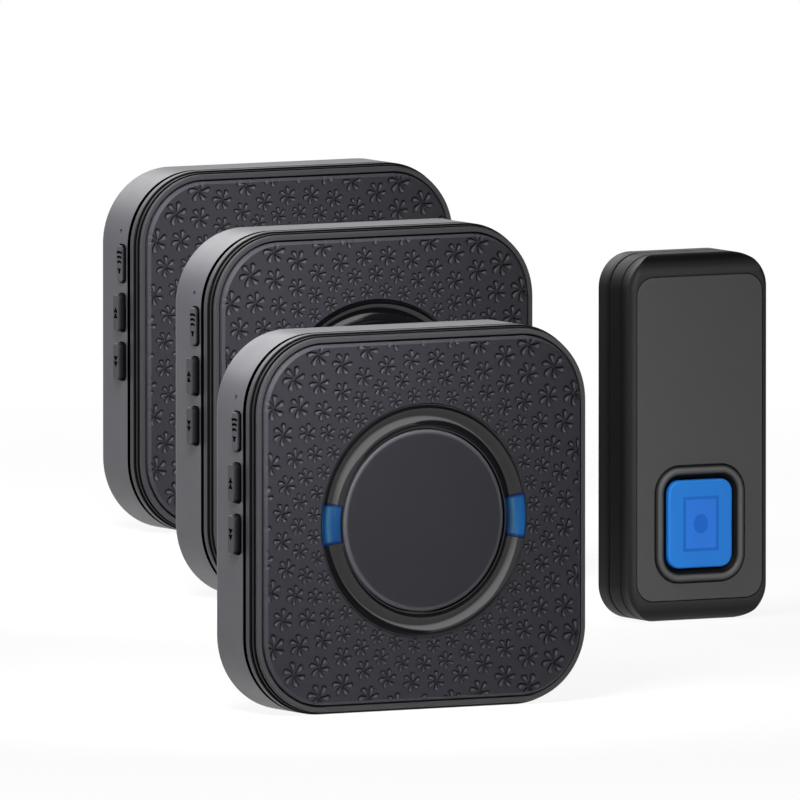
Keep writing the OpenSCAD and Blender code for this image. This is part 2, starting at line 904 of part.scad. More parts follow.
module front_shell() {
    color([0.07, 0.07, 0.07])
        difference() {
            union() {
                difference() {
                    front_shell_form();
                    block(tx_w - 2 * tx_wall, tx_h - 2 * tx_wall, tx_r - tx_wall, shell_z - over,
                          shell_back_z);
                    block(panel_w, panel_h, panel_r, panel_seat_z, panel_z + over);
                }
                at_four(tx_boss_x, tx_boss_y)
                    post(tx_boss_r - 0.3, tx_boss_z, shell_back_z + 0.2);
            }
            translate([0, -button_below, 0])
                block(well_w, well_h, well_r, shell_back_z - over, panel_z);
            at_four(tx_boss_x, tx_boss_y)
                post(tx_pilot_r, tx_boss_z - over, shell_back_z - 0.6);
        }
}

module face_panel() {
    color([0.29, 0.29, 0.29])
        difference() {
            block(panel_w - 2 * panel_gap, panel_h - 2 * panel_gap, panel_r - panel_gap, panel_seat_z, panel_z);
            translate([0, -button_below, 0])
                block(well_w + 2 * bezel_w + 2 * fit_clear, well_h + 2 * bezel_w + 2 * fit_clear,
                      well_r + bezel_w + fit_clear, panel_seat_z - over, panel_z + over);
        }
}

// Rim with a round bead outside and a shelf that falls towards the button
module button_bezel() {
    color([0.1, 0.1, 0.1])
        translate([0, -button_below, 0])
            around(well_w + 2 * bezel_w, well_h + 2 * bezel_w, well_r + bezel_w) {
                polygon([
                    [0, panel_seat_z],
                    [0, panel_z],
                    [-bead_in, panel_z + bezel_rise - 0.05],
                    [-bezel_w, panel_z - shelf_drop],
                    [-bezel_w, panel_seat_z]
                ]);
                intersection() {
                    translate([-bead_in, panel_z + bezel_rise - bead_r])
                        circle(bead_r);
                    translate([-2 * bead_in, panel_seat_z])
                        square([2 * bead_in, panel_t + bezel_rise]);
                }
            }
}

module push_button() {
    color([0.16, 0.46, 0.81])
        translate([0, -button_below, 0]) {
            slab(button_w, button_h, button_r, flange_z, panel_z + button_rise, button_edge_r);
            block(button_w + 2 * flange_w, button_h + 2 * flange_w, button_r, flange_z - flange_t, flange_z);
            post(button_stem_r, tx_board_front + tx_switch_h - stem_start, flange_z - flange_t);
        }
}

module button_seal() {
    color([0.2, 0.2, 0.2])
        translate([0, -button_below, 0])
            difference() {
                block(well_w + 2 * seal_w, well_h + 2 * seal_w, well_r + seal_w, shell_back_z - seal_t,
                      shell_back_z);
                block(well_w, well_h, well_r, shell_back_z - seal_t - over, shell_back_z + over);
            }
}

module case_gasket() {
    color([0.02, 0.02, 0.02])
        around(tx_w, tx_h, tx_r)
            translate([-gasket_in - gasket_w, gasket_z])
                square([gasket_w, tx_seam]);
}

module rear_shell() {
    color([0.08, 0.08, 0.08])
        difference() {
            union() {
                around(tx_w, tx_h, tx_r)
                    strip(-tx_wall, 0, rear_z, gasket_z, seam_edge_r, seam_edge_r);
                block(tx_w - tx_wall, tx_h - tx_wall, tx_r - tx_wall / 2, rear_z, rear_z + floor_t);
                around(tx_w, tx_h, tx_r)
                    translate([-tx_wall - slide_clear - spigot_t, rear_z - spigot_h])
                        square([spigot_t, spigot_h + floor_t]);
                at_four(tx_boss_x, tx_boss_y)
                    post(tx_boss_r, rear_z, tx_boss_z);
                at_four(tx_stake_x, tx_stake_y) {
                    post(tx_stake_r, rear_z, tx_board_z);
                    post(tx_stake_pin_r, rear_z, tx_board_front + 0.3);
                }
            }
            at_four(tx_boss_x, tx_boss_y) {
                post(tx_screw_hole_r, rear_z - over, tx_boss_z + over);
                post(tx_head_r + 0.3, rear_z - spigot_h, rear_z + tx_sink);
            }
        }
}

// Board with the switch under the button and the sprung holder of the coin cell
module transmitter_board() {
    color([0.05, 0.3, 0.15])
        difference() {
            union() {
                translate([-tx_board_w / 2, -tx_board_h / 2, tx_board_z])
                    cube([tx_board_w, tx_board_h, tx_board_t]);
                translate([-tx_switch_w / 2, -button_below - tx_switch_w / 2, tx_board_z])
                    cube([tx_switch_w, tx_switch_w, tx_board_t + tx_switch_h]);
                translate([0, coin_y, 0])
                    tube(coin_contact_r, coin_contact_r - 1, tx_board_z, tx_board_front + coin_lift);
                for (sx = [-1, 1])
                    translate([sx * (coin_r + 0.2 + holder_t / 2) - holder_t / 2, coin_y - holder_w / 2,
                               tx_board_z])
                        cube([holder_t, holder_w, tx_board_t + coin_lift + coin_t / 2]);
            }
            translate([0, -button_below, 0])
                post(tx_pocket_r, tx_board_front + tx_switch_h - tx_pocket_depth,
                     tx_board_front + tx_switch_h + over);
            at_four(tx_stake_x, tx_stake_y)
                post(tx_stake_pin_r + fit_clear, tx_board_z - over, tx_board_front + over);
        }
}

module coin_cell() {
    color([0.8, 0.8, 0.8])
        translate([0, coin_y, tx_board_front + coin_lift]) {
            cylinder(r = coin_r - coin_step_in, h = coin_t);
            translate([0, 0, coin_step])
                cylinder(r = coin_r, h = coin_t - coin_step);
        }
}

module transmitter_screws() {
    color([0.55, 0.55, 0.57])
        at_four(tx_boss_x, tx_boss_y)
            screw(tx_screw_r, tx_head_r, tx_head_h, rear_z + tx_sink, shell_back_z - 1, 2 * tx_head_r - 1);
}

// Tray with two countersunk screw holes
module wall_plate() {
    color([0.09, 0.09, 0.09])
        difference() {
            union() {
                around(tx_w, tx_h, tx_r)
                    strip(-tx_wall, 0, 0, wall_plate_depth, seam_edge_r * 2, seam_edge_r);
                block(tx_w - tx_wall, tx_h - tx_wall, tx_r - tx_wall / 2, 0, plate_wall);
            }
            for (sy = [-1, 1])
                translate([0, sy * wall_hole_pitch / 2, 0])
                    post(wall_hole_r, -over, plate_wall + over);
        }
}

// Places

function wanted(unit, piece) = node == "all" || node == str(unit, "_", piece);

// Stands a unit of a given height at a place on the table, its back at the given y
module stand(x, y, h) {
    translate([x - set_x, y - set_y, h / 2])
        rotate([90, 0, 0])
            children();
}

for (k = [0:len(CHIMES) - 1])
    stand(units_x[k], units_y[k], chime_w) {
        if (wanted(CHIMES[k], "rear_case")) rear_case();
        if (wanted(CHIMES[k], "front_cover")) front_cover();
        if (wanted(CHIMES[k], "face_plate")) face_plate();
        if (wanted(CHIMES[k], "ring_trim")) ring_trim();
        if (wanted(CHIMES[k], "light_windows")) light_windows();
        if (wanted(CHIMES[k], "centre_disc")) centre_disc();
        if (wanted(CHIMES[k], "volume_key")) volume_key();
        if (wanted(CHIMES[k], "up_key")) up_key();
        if (wanted(CHIMES[k], "down_key")) down_key();
        if (wanted(CHIMES[k], "circuit_board")) circuit_board();
        if (wanted(CHIMES[k], "speaker")) speaker();
        if (wanted(CHIMES[k], "battery_door")) battery_door();
        if (wanted(CHIMES[k], "batteries")) batteries();
        if (wanted(CHIMES[k], "battery_contacts")) battery_contacts();
        if (wanted(CHIMES[k], "case_screws")) chime_screws();
    }

stand(transmitter_right, transmitter_behind, tx_h) {
    if (wanted("transmitter", "front_shell")) front_shell();
    if (wanted("transmitter", "face_panel")) face_panel();
    if (wanted("transmitter", "button_bezel")) button_bezel();
    if (wanted("transmitter", "push_button")) push_button();
    if (wanted("transmitter", "button_seal")) button_seal();
    if (wanted("transmitter", "case_gasket")) case_gasket();
    if (wanted("transmitter", "rear_shell")) rear_shell();
    if (wanted("transmitter", "circuit_board")) transmitter_board();
    if (wanted("transmitter", "coin_cell")) coin_cell();
    if (wanted("transmitter", "case_screws")) transmitter_screws();
    if (wanted("transmitter", "wall_plate")) wall_plate();
}
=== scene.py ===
"""Looks of a wireless doorbell set: standing square chimes and a push-button transmitter.

Lengths in the classes are millimetres in a unit's face frame: x to the right, y up and z to the front,
with z = 0 at the unit's back and y = 0 at half its height. A mesh is made in the set's frame, in metres.
The studio's lengths are metres in the set's frame.
"""

import logging
import math
from dataclasses import dataclass, replace
from enum import Enum
from functools import cache
from typing import ClassVar

import bpy
import numpy as np
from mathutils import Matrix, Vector


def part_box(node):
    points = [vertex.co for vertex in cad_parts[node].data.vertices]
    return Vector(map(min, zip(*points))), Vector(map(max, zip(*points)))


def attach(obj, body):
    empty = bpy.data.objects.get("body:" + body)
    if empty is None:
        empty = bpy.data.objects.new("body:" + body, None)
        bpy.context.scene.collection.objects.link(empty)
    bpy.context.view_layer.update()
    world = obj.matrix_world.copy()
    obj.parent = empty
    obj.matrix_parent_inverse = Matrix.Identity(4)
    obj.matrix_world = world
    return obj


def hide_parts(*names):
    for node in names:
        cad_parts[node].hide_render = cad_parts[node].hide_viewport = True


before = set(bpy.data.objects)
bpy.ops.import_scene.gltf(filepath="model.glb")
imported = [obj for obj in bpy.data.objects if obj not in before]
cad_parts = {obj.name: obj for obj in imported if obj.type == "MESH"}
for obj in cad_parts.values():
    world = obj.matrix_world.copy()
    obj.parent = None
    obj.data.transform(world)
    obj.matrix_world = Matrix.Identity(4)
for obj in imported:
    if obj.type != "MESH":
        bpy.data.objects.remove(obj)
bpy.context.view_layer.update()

LOG = logging.getLogger("doorbell")
MM = 0.001
TURN = 2.0 * math.pi
ROOT = "set"
FLOWER = "flower"
NO_FLOWER = 9.0
CHIMES = ("front_chime", "middle_chime", "back_chime")
CLOUD_DETAIL = 3.0
GRAIN_DETAIL = 2.0
SMOOTHEST = 0.02
SEEN_RAYS = ("Camera", "Glossy", "Transmission")
Triple = tuple[float, float, float]
Colour = Triple
Screen = tuple[int, int, int]
Pair = tuple[float, float]
Array = np.ndarray
Socket = bpy.types.NodeSocket
UNIT_RANGE: Pair = (0.0, 1.0)
BLACK: Colour = (0.0, 0.0, 0.0)
WHITE: Colour = (1.0, 1.0, 1.0)


def srgb(*levels: int) -> Colour:
    """Turns a screen colour into a linear one.

    Args:
        levels: red, green and blue from 0 to 255.

    Returns:
        The linear colour, by the usual two-part curve: a straight foot and a power of 2.4.
    """
    parts = np.array(levels) / 255.0
    linear = np.where(parts <= 0.04045, parts / 12.92, ((parts + 0.055) / 1.055) ** 2.4)
    return tuple(float(v) for v in linear)


class Term(np.lib.mixins.NDArrayOperatorsMixin):
    """A number in a node tree that numpy counts with: each sum adds one Math node."""

    OPERATIONS: ClassVar[dict[np.ufunc, str]] = {
        np.add: "ADD", np.subtract: "SUBTRACT", np.multiply: "MULTIPLY", np.divide: "DIVIDE",
        np.remainder: "FLOORED_MODULO", np.sqrt: "SQRT", np.absolute: "ABSOLUTE", np.sin: "SINE",
        np.cos: "COSINE", np.arctan2: "ARCTAN2", np.minimum: "MINIMUM", np.maximum: "MAXIMUM",
        np.less: "LESS_THAN", np.greater: "GREATER_THAN",
    }

    def __init__(self, nodes: "Nodes", socket: Socket) -> None:
        """Keeps the number's socket and the nodes it is one of."""
        self.nodes, self.socket = nodes, socket

    def __array_ufunc__(self, function: np.ufunc, method: str, *values: "Term | float") -> "Term":
        """Gives the result of one of numpy's functions, which numpy always calls the plain way here."""
        return self.nodes.number("Math", dict(enumerate(values)), operation=self.OPERATIONS[function])


Number = Array | Term


class Nodes:
    """Writes nodes into a tree: each call adds what it names and gives the result."""

    def __init__(self, tree: bpy.types.NodeTree) -> None:
        """Keeps the node tree."""
        self.tree = tree

    def fill(self, node: bpy.types.Node, inputs: dict) -> bpy.types.Node:
        """Links or sets a node's inputs.

        Args:
            node: the node.
            inputs: a term, a socket or a constant for each input, by the input's name or number.

        Returns:
            The same node.
        """
        for name, value in inputs.items():
            source = value.socket if isinstance(value, Term) else value
            if isinstance(source, Socket):
                self.tree.links.new(source, node.inputs[name])
            else:
                node.inputs[name].default_value = source
        return node

    def add(self, kind: str, inputs: dict, **settings: object) -> bpy.types.Node:
        """Adds one node.

        Args:
            kind: the node's type, without the part that all types share.
            inputs: its inputs, as in fill.
            settings: the node's own settings.

        Returns:
            The node.
        """
        node = self.tree.nodes.new(f"ShaderNode{kind}")
        for name, setting in settings.items():
            setattr(node, name, setting)
        return self.fill(node, inputs)

    def number(self, kind: str, inputs: dict, result: str = "Value", **settings: object) -> Term:
        """Adds one node, as add does, and gives the named result as a term."""
        return Term(self, self.add(kind, inputs, **settings).outputs[result])

    def vector(self, operation: str, *values: Socket | Triple) -> Term:
        """Gives the number that one sum with vectors has as its result."""
        return self.number("VectorMath", dict(enumerate(values)), operation=operation)

    def part(self, vector: Socket, axis: str) -> Term:
        """Gives a vector's part along one axis."""
        return self.number("SeparateXYZ", {"Vector": vector}, axis)

    @cache
    def place(self) -> Socket:
        """Gives the Object coordinates."""
        return self.add("TexCoord", {}).outputs["Object"]

    @cache
    def noise(self, width: float, detail: float) -> Term:
        """Gives a noise from 0 to 1 with spots of a width in millimetres and so many finer layers."""
        inputs = {"Vector": self.place(), "Scale": 1.0 / (width * MM), "Detail": detail}
        return self.number("TexNoise", inputs, "Fac")

    def between(self, value: Term, given: Pair, wanted: Pair) -> Term:
        """Turns a value's given range into the wanted one and stays inside it."""
        ends = zip(("From Min", "From Max", "To Min", "To Max"), (*given, *wanted))
        return self.number("MapRange", {"Value": value, **dict(ends)}, "Result")

    def over(self, base: Socket | Colour, colour: Colour, share: Term) -> Socket:
        """Lays a colour over another.

        Args:
            base: the colour below.
            colour: the colour above.
            share: how much of it shows, from 0 to 1.

        Returns:
            The mixed colour.
        """
        below = base if isinstance(base, Socket) else (*base, 1.0)
        inputs = {"Factor": share, "A": below, "B": (*colour, 1.0)}
        return self.add("Mix", inputs, data_type="RGBA").outputs["Result"]


class Grain(Enum):
    """Textures of a moulded surface: width of a grain and depth of its bump, in millimetres."""

    POLISHED = (6.0, 0.004)
    FINE = (0.22, 0.006)
    SPARK = (0.4, 0.012)
    BRUSHED = (0.15, 0.004)


@dataclass(frozen=True)
class Finish:
    """A finish with two close tints, a grain and an uneven gloss.

    The colour goes between two tints, and the roughness between two values, by a soft cloud of
    cloud_size. The bump is a fine noise of the grain's width.
    """

    name: str
    colour: Colour
    roughness: float
    grain: Grain = Grain.FINE
    specular: float = 0.4
    metallic: float = 0.0
    coat: float = 0.0
    coat_roughness: float = 0.06
    mottle: float = 0.12
    gloss_spread: float = 0.05
    cloud_size: float = 9.0

    def at(self, place: "FaceFrame") -> "Finish":
        """Gives the finish for one unit: the same for all."""
        return self

    def tint(self, share: float) -> Colour:
        """Gives the colour made lighter or darker by a share."""
        return tuple(min(1.0, c * (1.0 + share)) for c in self.colour)

    def cloud(self, nodes: Nodes) -> Term:
        """Gives the soft cloud, from 0 to 1."""
        return nodes.noise(self.cloud_size, CLOUD_DETAIL)

    def colours(self, nodes: Nodes) -> Socket:
        """Gives the base colour: a tint by the cloud."""
        return nodes.over(self.tint(-self.mottle), self.tint(self.mottle), self.cloud(nodes))

    def relief(self, nodes: Nodes) -> Socket | None:
        """Gives the normal of a relief below the grain: none here."""
        return None

    def sheen(self, nodes: Nodes, colour: Socket) -> Term | float:
        """Gives the specular level, which may go with the colour: the same everywhere here."""
        return self.specular

    def material(self) -> bpy.types.Material:
        """Builds the node material.

        Returns:
            A material that reads Object coordinates and the mesh's own attribute only.
        """
        material = bpy.data.materials.new(self.name)
        material.use_nodes = True
        nodes = Nodes(material.node_tree)
        colour = self.colours(nodes)
        gloss = np.clip(self.roughness + np.array([-1.0, 1.0]) * self.gloss_spread, SMOOTHEST, 1.0)
        width, depth = self.grain.value
        bump = {"Strength": 1.0, "Distance": depth * MM, "Height": nodes.noise(width, GRAIN_DETAIL)}
        relief = self.relief(nodes)
        if relief is not None:
            bump["Normal"] = relief
        shader = material.node_tree.nodes["Principled BSDF"]
        nodes.fill(shader, {"Specular IOR Level": self.specular})
        nodes.fill(shader, {
            "Base Color": colour, "Metallic": self.metallic, "Coat Weight": self.coat,
            "Coat Roughness": self.coat_roughness, "Specular IOR Level": self.sheen(nodes, colour),
            "Roughness": nodes.between(self.cloud(nodes), UNIT_RANGE, tuple(gloss)),
            "Normal": nodes.add("Bump", bump).outputs["Normal"],
        })
        return material


@dataclass(frozen=True)
class BandedFinish(Finish):
    """A finish whose colour goes through bands by a distance, each a distance and its screen colour."""

    origin: Triple = (0.0, 0.0, 0.0)
    bands: tuple[tuple[float, Screen], ...] = ()
    dull: float = 0.012

    def at(self, place: "FaceFrame") -> "BandedFinish":
        """Gives a copy for one unit, with a name of its own and distances from the unit's origin."""
        origin = (place.across, place.back, place.middle)
        return replace(self, name=f"{place.unit}_{self.name}", origin=origin)

    def moved(self, nodes: Nodes, scale: Triple = (1.0, 1.0, 1.0)) -> Socket:
        """Gives the step from the unit's origin in metres, each part times its scale."""
        inputs = {"Location": tuple(-c * s for c, s in zip(self.origin, scale)), "Scale": scale}
        return nodes.add("Mapping", {"Vector": nodes.place(), **inputs}).outputs["Vector"]

    def distance(self, nodes: Nodes) -> Term:
        """Gives the distance in metres, which each kind of bands measures its own way."""
        raise NotImplementedError

    def colours(self, nodes: Nodes) -> Socket:
        """Adds the nodes of the base colour.

        Args:
            nodes: the material's nodes.

        Returns:
            The colour between two bands' colours, darkened a little by the cloud.
        """
        first, last = self.bands[0][0] * MM, self.bands[-1][0] * MM
        share = nodes.between(self.distance(nodes), (first, last), UNIT_RANGE)
        ramp = nodes.add("ValToRGB", {"Fac": share})
        stops = ramp.color_ramp.elements
        while len(stops) < len(self.bands):
            stops.new(0.5)
        for stop, (distance, colour) in zip(stops, self.bands):
            stop.position = (distance * MM - first) / (last - first)
            stop.color = (*srgb(*colour), 1.0)
        dim = nodes.between(self.cloud(nodes), UNIT_RANGE, (0.0, self.mottle))
        return nodes.over(ramp.outputs["Color"], BLACK, dim)

    def sheen(self, nodes: Nodes, colour: Socket) -> Term:
        """Gives the finish's level, which falls to 0 where the colour is darker than the dull level, so that
        painted shade has no gloss.
        """
        grey = nodes.number("RGBToBW", {"Color": colour}, "Val")
        return nodes.between(grey, (0.0, self.dull), (0.0, self.specular))


@dataclass(frozen=True)
class RadialFinish(BandedFinish):
    """Bands by the distance from the unit's axis, which runs to the front."""

    def distance(self, nodes: Nodes) -> Term:
        """Gives the distance from the axis in the x-z plane, in metres."""
        return nodes.vector("LENGTH", self.moved(nodes, (1.0, 0.0, 1.0)))


@dataclass(frozen=True)
class DepthFinish(BandedFinish):
    """Bands by the distance from the unit's origin along one direction."""

    direction: Triple = (0.0, -1.0, 0.0)

    def distance(self, nodes: Nodes) -> Term:
        """Gives the distance along the direction, in metres."""
        return nodes.vector("DOT_PRODUCT", self.moved(nodes), self.direction)


@dataclass(frozen=True)
class WindowFinish(RadialFinish):
    """Radial bands that stop at a dark line along each end of a window, which lies across the axis."""

    line_from: float = 9.2
    line_to: float = 10.2
    line: Colour = (0.001, 0.009, 0.048)

    def colours(self, nodes: Nodes) -> Socket:
        """Adds the nodes of the base colour.

        Args:
            nodes: the material's nodes.

        Returns:
            The bands' colour, or the line's where the height over the distance, which is the sine of the
            angle from the middle, is past the line's.
        """
        sine = np.abs(nodes.part(self.moved(nodes), "Z")) / self.distance(nodes)
        ends = tuple(math.sin(math.radians(angle)) for angle in (self.line_from, self.line_to))
        return nodes.over(super().colours(nodes), self.line, nodes.between(sine, ends, UNIT_RANGE))


@dataclass(frozen=True)
class Petals:
    """A flower of radius 1: drop-shaped petals that curl one way, each hollowed out like a dish."""

    count: int = 6
    turn: float = -0.32
    curl: float = 0.3
    root: float = 0.16
    tip: float = 0.765
    root_r: float = 0.05
    tip_r: float = 0.235
    wall: float = 0.15

    @property
    def share(self) -> float:
        """One petal's share of the turn."""
        return TURN / self.count

    @property
    def slope(self) -> float:
        """Sine of the angle between a petal's axis and its straight side."""
        return (self.root_r - self.tip_r) / (self.tip - self.root)

    @property
    def flat(self) -> float:
        """Cosine of that angle."""
        return math.sqrt(1.0 - self.slope**2)

    def signed(self, u: Number, v: Number) -> Number:
        """Distance from a petal's outline, in flower radii.

        The direction is turned back by curl times the distance, and folded into one petal's share of
        the turn. The petal is then a straight drop: two circles of root_r and tip_r joined by their
        common tangents.

        Args:
            u: away from the ring's centre, in flower radii.
            v: along the ring, in flower radii.

        Returns:
            One distance for each point, below 0 inside a petal.
        """
        distance = np.sqrt(u * u + v * v)
        turned = np.arctan2(v, u) - self.curl * distance - self.turn
        folded = (turned + self.share / 2.0) % self.share - self.share / 2.0
        along = distance * np.cos(folded) - self.root
        across = np.abs(distance * np.sin(folded))
        rest = along - (self.tip - self.root)
        station = self.flat * along - self.slope * across
        side = self.flat * across + self.slope * along - self.root_r
        start = np.sqrt(across * across + along * along) - self.root_r
        end = np.sqrt(across * across + rest * rest) - self.tip_r
        outer = side + (station > self.flat * (self.tip - self.root)) * (end - side)
        return outer + (station < 0.0) * (start - outer)

    def hollow(self, signed: Number) -> Number:
        """Depth of the dish from 0 to 1: s (2 - s), where s is the way in over the wall, from 0 to 1."""
        way = np.minimum(np.maximum(signed / -self.wall, 0.0), 1.0)
        return way * (2.0 - way)


@dataclass(frozen=True)
class FlowerFinish(Finish):
    """A finish with hollow petals, drawn from the flower coordinates that the mesh carries.

    The nodes count with the same formulas as the mesh, so that outlines stay sharp between its points. A
    dish's depth is a share of the flower's radius in millimetres, the third of the coordinates.
    """

    petals: Petals = Petals()
    depth: float = 0.06
    # The fields from here on paint the relief's light and shade into the colour: painted shade along the
    # petals' outlines, strongest where the wall faces down to the right, and a painted highlight on the
    # petals' floors.
    painted_shade_side: Triple = (0.6, 0.0, -0.8)
    reach: float = 0.5
    least_line_shade: float = 0.3
    shade_line_at: float = -0.04
    shade_line_half: float = 0.135
    floor_light_from: float = -0.04
    floor_light_to: float = -0.11
    dark: Colour = (0.0005, 0.0005, 0.0006)
    light: Colour = (0.043, 0.043, 0.047)

    @cache
    def marks(self, nodes: Nodes) -> tuple[Term, Term, Term]:
        """Gives the mesh's flower coordinates."""
        mark = nodes.add("Attribute", {}, attribute_name=FLOWER).outputs["Vector"]
        return tuple(nodes.part(mark, axis) for axis in "XYZ")

    @cache
    def signed(self, nodes: Nodes) -> Term:
        """Gives the distance from a petal's outline."""
        u, v, _ = self.marks(nodes)
        return self.petals.signed(u, v)

    def colours(self, nodes: Nodes) -> Socket:
        """Adds the nodes of the base colour.

        Args:
            nodes: the material's nodes.

        Returns:
            The plain finish's colour with a painted highlight on the petals' floors and painted shade along
            their outlines, mostly where the wall faces down to the right.
        """
        signed = self.signed(nodes)
        # Painted shade along each outline, strongest on walls that face down to the right, and a painted
        # highlight on each petal's floor.
        line = nodes.between(np.abs(signed - self.shade_line_at), (self.shade_line_half, 0.0), UNIT_RANGE)
        facing = nodes.vector("DOT_PRODUCT", self.relief(nodes), self.painted_shade_side)
        painted_shade_side = nodes.between(facing, (-self.reach, self.reach), (self.least_line_shade, 1.0))
        floor = nodes.between(signed, (self.floor_light_from, self.floor_light_to), UNIT_RANGE)
        floored = nodes.over(super().colours(nodes), self.light, floor)
        return nodes.over(floored, self.dark, line * painted_shade_side)

    @cache
    def relief(self, nodes: Nodes) -> Socket:
        """Adds the nodes of the dishes.

        Args:
            nodes: the material's nodes.

        Returns:
            The normal of the hollow petals.
        """
        height = self.petals.hollow(self.signed(nodes)) * self.marks(nodes)[2]
        inputs = {"Strength": 1.0, "Distance": self.depth * MM, "Height": height}
        return nodes.add("Bump", inputs, invert=True).outputs["Normal"]


@cache
def material_of(finish: Finish) -> bpy.types.Material:
    """Gives the one material of a finish."""
    return finish.material()


CASE = Finish("satin_black_case", srgb(48, 48, 53), 0.42, specular=0.5)
# Depth bands paint shade into the case: black painted shade in the seam between rear case and front cover and
# in the two grooves of the rim, and darker bands of painted shade across the rim between them.
SEAM_SHADED = DepthFinish(
    "satin_black_case_with_painted_seam_shade", CASE.colour, 0.42, specular=0.5, mottle=0.06, dull=0.028,
    bands=(
        (13.5, (48, 48, 53)), (13.62, (0, 0, 0)), (14.95, (0, 0, 0)), (15.08, (34, 34, 37)),
        (16.45, (33, 33, 36)), (16.7, (6, 6, 6)), (17.15, (6, 6, 6)), (17.3, (23, 23, 25)),
        (17.75, (23, 23, 25)), (17.95, (6, 6, 6)), (18.3, (6, 6, 6)), (18.45, (34, 34, 37)),
        (18.95, (36, 36, 39)),
    ),
)
# The face's colours paint the relief's shading: painted shade along the petals' outlines and a painted
# highlight on their floors.
FACE = FlowerFinish("satin_black_face", srgb(36, 36, 40), 0.45, specular=0.015, mottle=0.06)
# A lighter copy of the face's finish for the plate's chamfer, side and underside: a painted highlight on the
# chamfer.
FACE_EDGE_HIGHLIGHT = Finish("satin_black_face_edge_painted_highlight", srgb(44, 44, 48), 0.42, specular=0.12, mottle=0.06)
# Radial bands paint a highlight on the disc's rounded rim, and make it dark at its very edge.
DISC = RadialFinish(
    "matt_black_disc", srgb(34, 34, 38), 0.55, Grain.SPARK, specular=0.07,
    bands=((19.9, (30, 30, 34)), (20.3, (52, 52, 56)), (20.95, (66, 66, 70)), (21.2, (8, 8, 8))),
)
RING = Finish("polished_black_ring", srgb(8, 8, 10), 0.12, Grain.POLISHED, specular=0.42, gloss_spread=0.03)
# Bands outward from the wall paint shade on the keys: black at the wall and in the opening, darkening the
# keys' sides, up to the cap's own colour at its face.
KEY = DepthFinish(
    "satin_black_key", srgb(38, 38, 41), 0.42, specular=0.29, direction=(-1.0, 0.0, 0.0),
    bands=(
        (43.6, (0, 0, 0)), (44.4, (5, 5, 6)), (45.0, (15, 15, 17)), (45.6, (22, 22, 24)),
        (45.78, (34, 34, 38)),
    ),
)
VOLUME_KEY = replace(
    KEY, name="satin_black_volume_key", specular=0.34,
    bands=((43.6, (0, 0, 0)), (44.3, (5, 5, 6)), (44.6, (16, 16, 18)), (44.78, (40, 40, 44))),
)
MARK = Finish("dark_moulded_mark", srgb(6, 6, 7), 0.9, specular=0.0)
# Radial bands paint the glow of the light inside the window: blue across the middle, fading to dark at both
# edges, with a greyish painted highlight at 24.5 mm.
WINDOW = WindowFinish(
    "lit_blue_window", srgb(16, 84, 160), 0.15, Grain.POLISHED, specular=0.15, mottle=0.15,
    bands=(
        (21.6, (2, 16, 40)), (22.1, (5, 40, 76)), (23.4, (5, 45, 81)), (24.5, (38, 75, 100)),
        (25.2, (8, 60, 101)), (26.6, (4, 50, 92)), (27.0, (1, 12, 28)),
    ),
)
BOARD = Finish("green_solder_mask", srgb(22, 92, 52), 0.35, Grain.SPARK, mottle=0.35, cloud_size=3.0)
SPEAKER = Finish("grey_speaker_metal", srgb(120, 120, 124), 0.4, metallic=0.8)
CELL = Finish("plain_cell_metal", srgb(190, 190, 188), 0.3, Grain.BRUSHED, metallic=1.0)
SLEEVE = Finish("black_cell_sleeve", srgb(24, 24, 26), 0.25, Grain.POLISHED, coat=0.4)
BAND = Finish("copper_cell_band", srgb(196, 124, 70), 0.28, Grain.BRUSHED, metallic=0.85)
PLATED = Finish("nickel_contacts", srgb(205, 203, 196), 0.25, Grain.BRUSHED, metallic=1.0)
SCREW = Finish("zinc_screws", srgb(150, 150, 152), 0.32, Grain.BRUSHED, metallic=1.0)
# Depth bands paint light and shade on the transmitter's shells: dark along the sides, a little lighter on the
# wall plate, and lighter towards the front as a painted highlight on the front shell's rounded edge next to
# the panel.
SHELL = DepthFinish(
    "soft_black_shell", srgb(12, 12, 12), 0.45, specular=0.12, dull=0.004,
    bands=(
        (3.9, (13, 13, 13)), (4.0, (9, 9, 9)), (8.9, (8, 8, 8)), (12.5, (7, 7, 7)),
        (14.5, (15, 15, 15)), (15.6, (26, 26, 26)), (16.2, (44, 44, 44)),
    ),
)
PANEL = Finish("flat_grey_panel", srgb(76, 76, 76), 0.6, specular=0.1, mottle=0.03)
# Depth bands paint the bezel's bead: a painted highlight on its crest, fading to painted shade down its sides
# to the groove and the button.
BEZEL = DepthFinish(
    "satin_black_bezel", srgb(30, 30, 30), 0.45, specular=0.25,
    bands=((15.6, (4, 4, 4)), (16.3, (12, 12, 12)), (16.7, (36, 36, 36)), (17.0, (84, 84, 84))),
)
BUTTON = Finish("satin_blue_button", srgb(39, 127, 219), 0.5, specular=0.1, mottle=0.03)
BUTTON_LINE = replace(BUTTON, name="deep_blue_line", colour=srgb(28, 105, 203))
BUTTON_PANE = replace(BUTTON, name="violet_blue_pane", colour=srgb(45, 123, 224))
BUTTON_DOT = replace(BUTTON, name="deep_blue_dot", colour=srgb(28, 105, 207))
RUBBER = Finish("black_rubber", srgb(20, 20, 20), 0.75, Grain.SPARK, specular=0.25)


@dataclass(frozen=True)
class FaceFrame:
    """A unit's name and its face frame's place: centre across, back and half height, in metres."""

    unit: str
    across: float
    back: float
    middle: float

    @classmethod
    def of(cls, unit: str, piece: str) -> "FaceFrame":
        """Reads the place from the box of a piece that spans the unit's width, back and height."""
        low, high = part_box(f"{unit}_{piece}")
        return cls(unit, (low.x + high.x) / 2.0, high.y, (low.z + high.z) / 2.0)

    def to_set(self, points: Array) -> Array:
        """Turns rows in millimetres into the set's metres: the face's z runs towards -y and its y to +z."""
        x, y, z = np.asarray(points, float).reshape(-1, 3).T * MM
        return np.column_stack((x + self.across, self.back - z, y + self.middle))


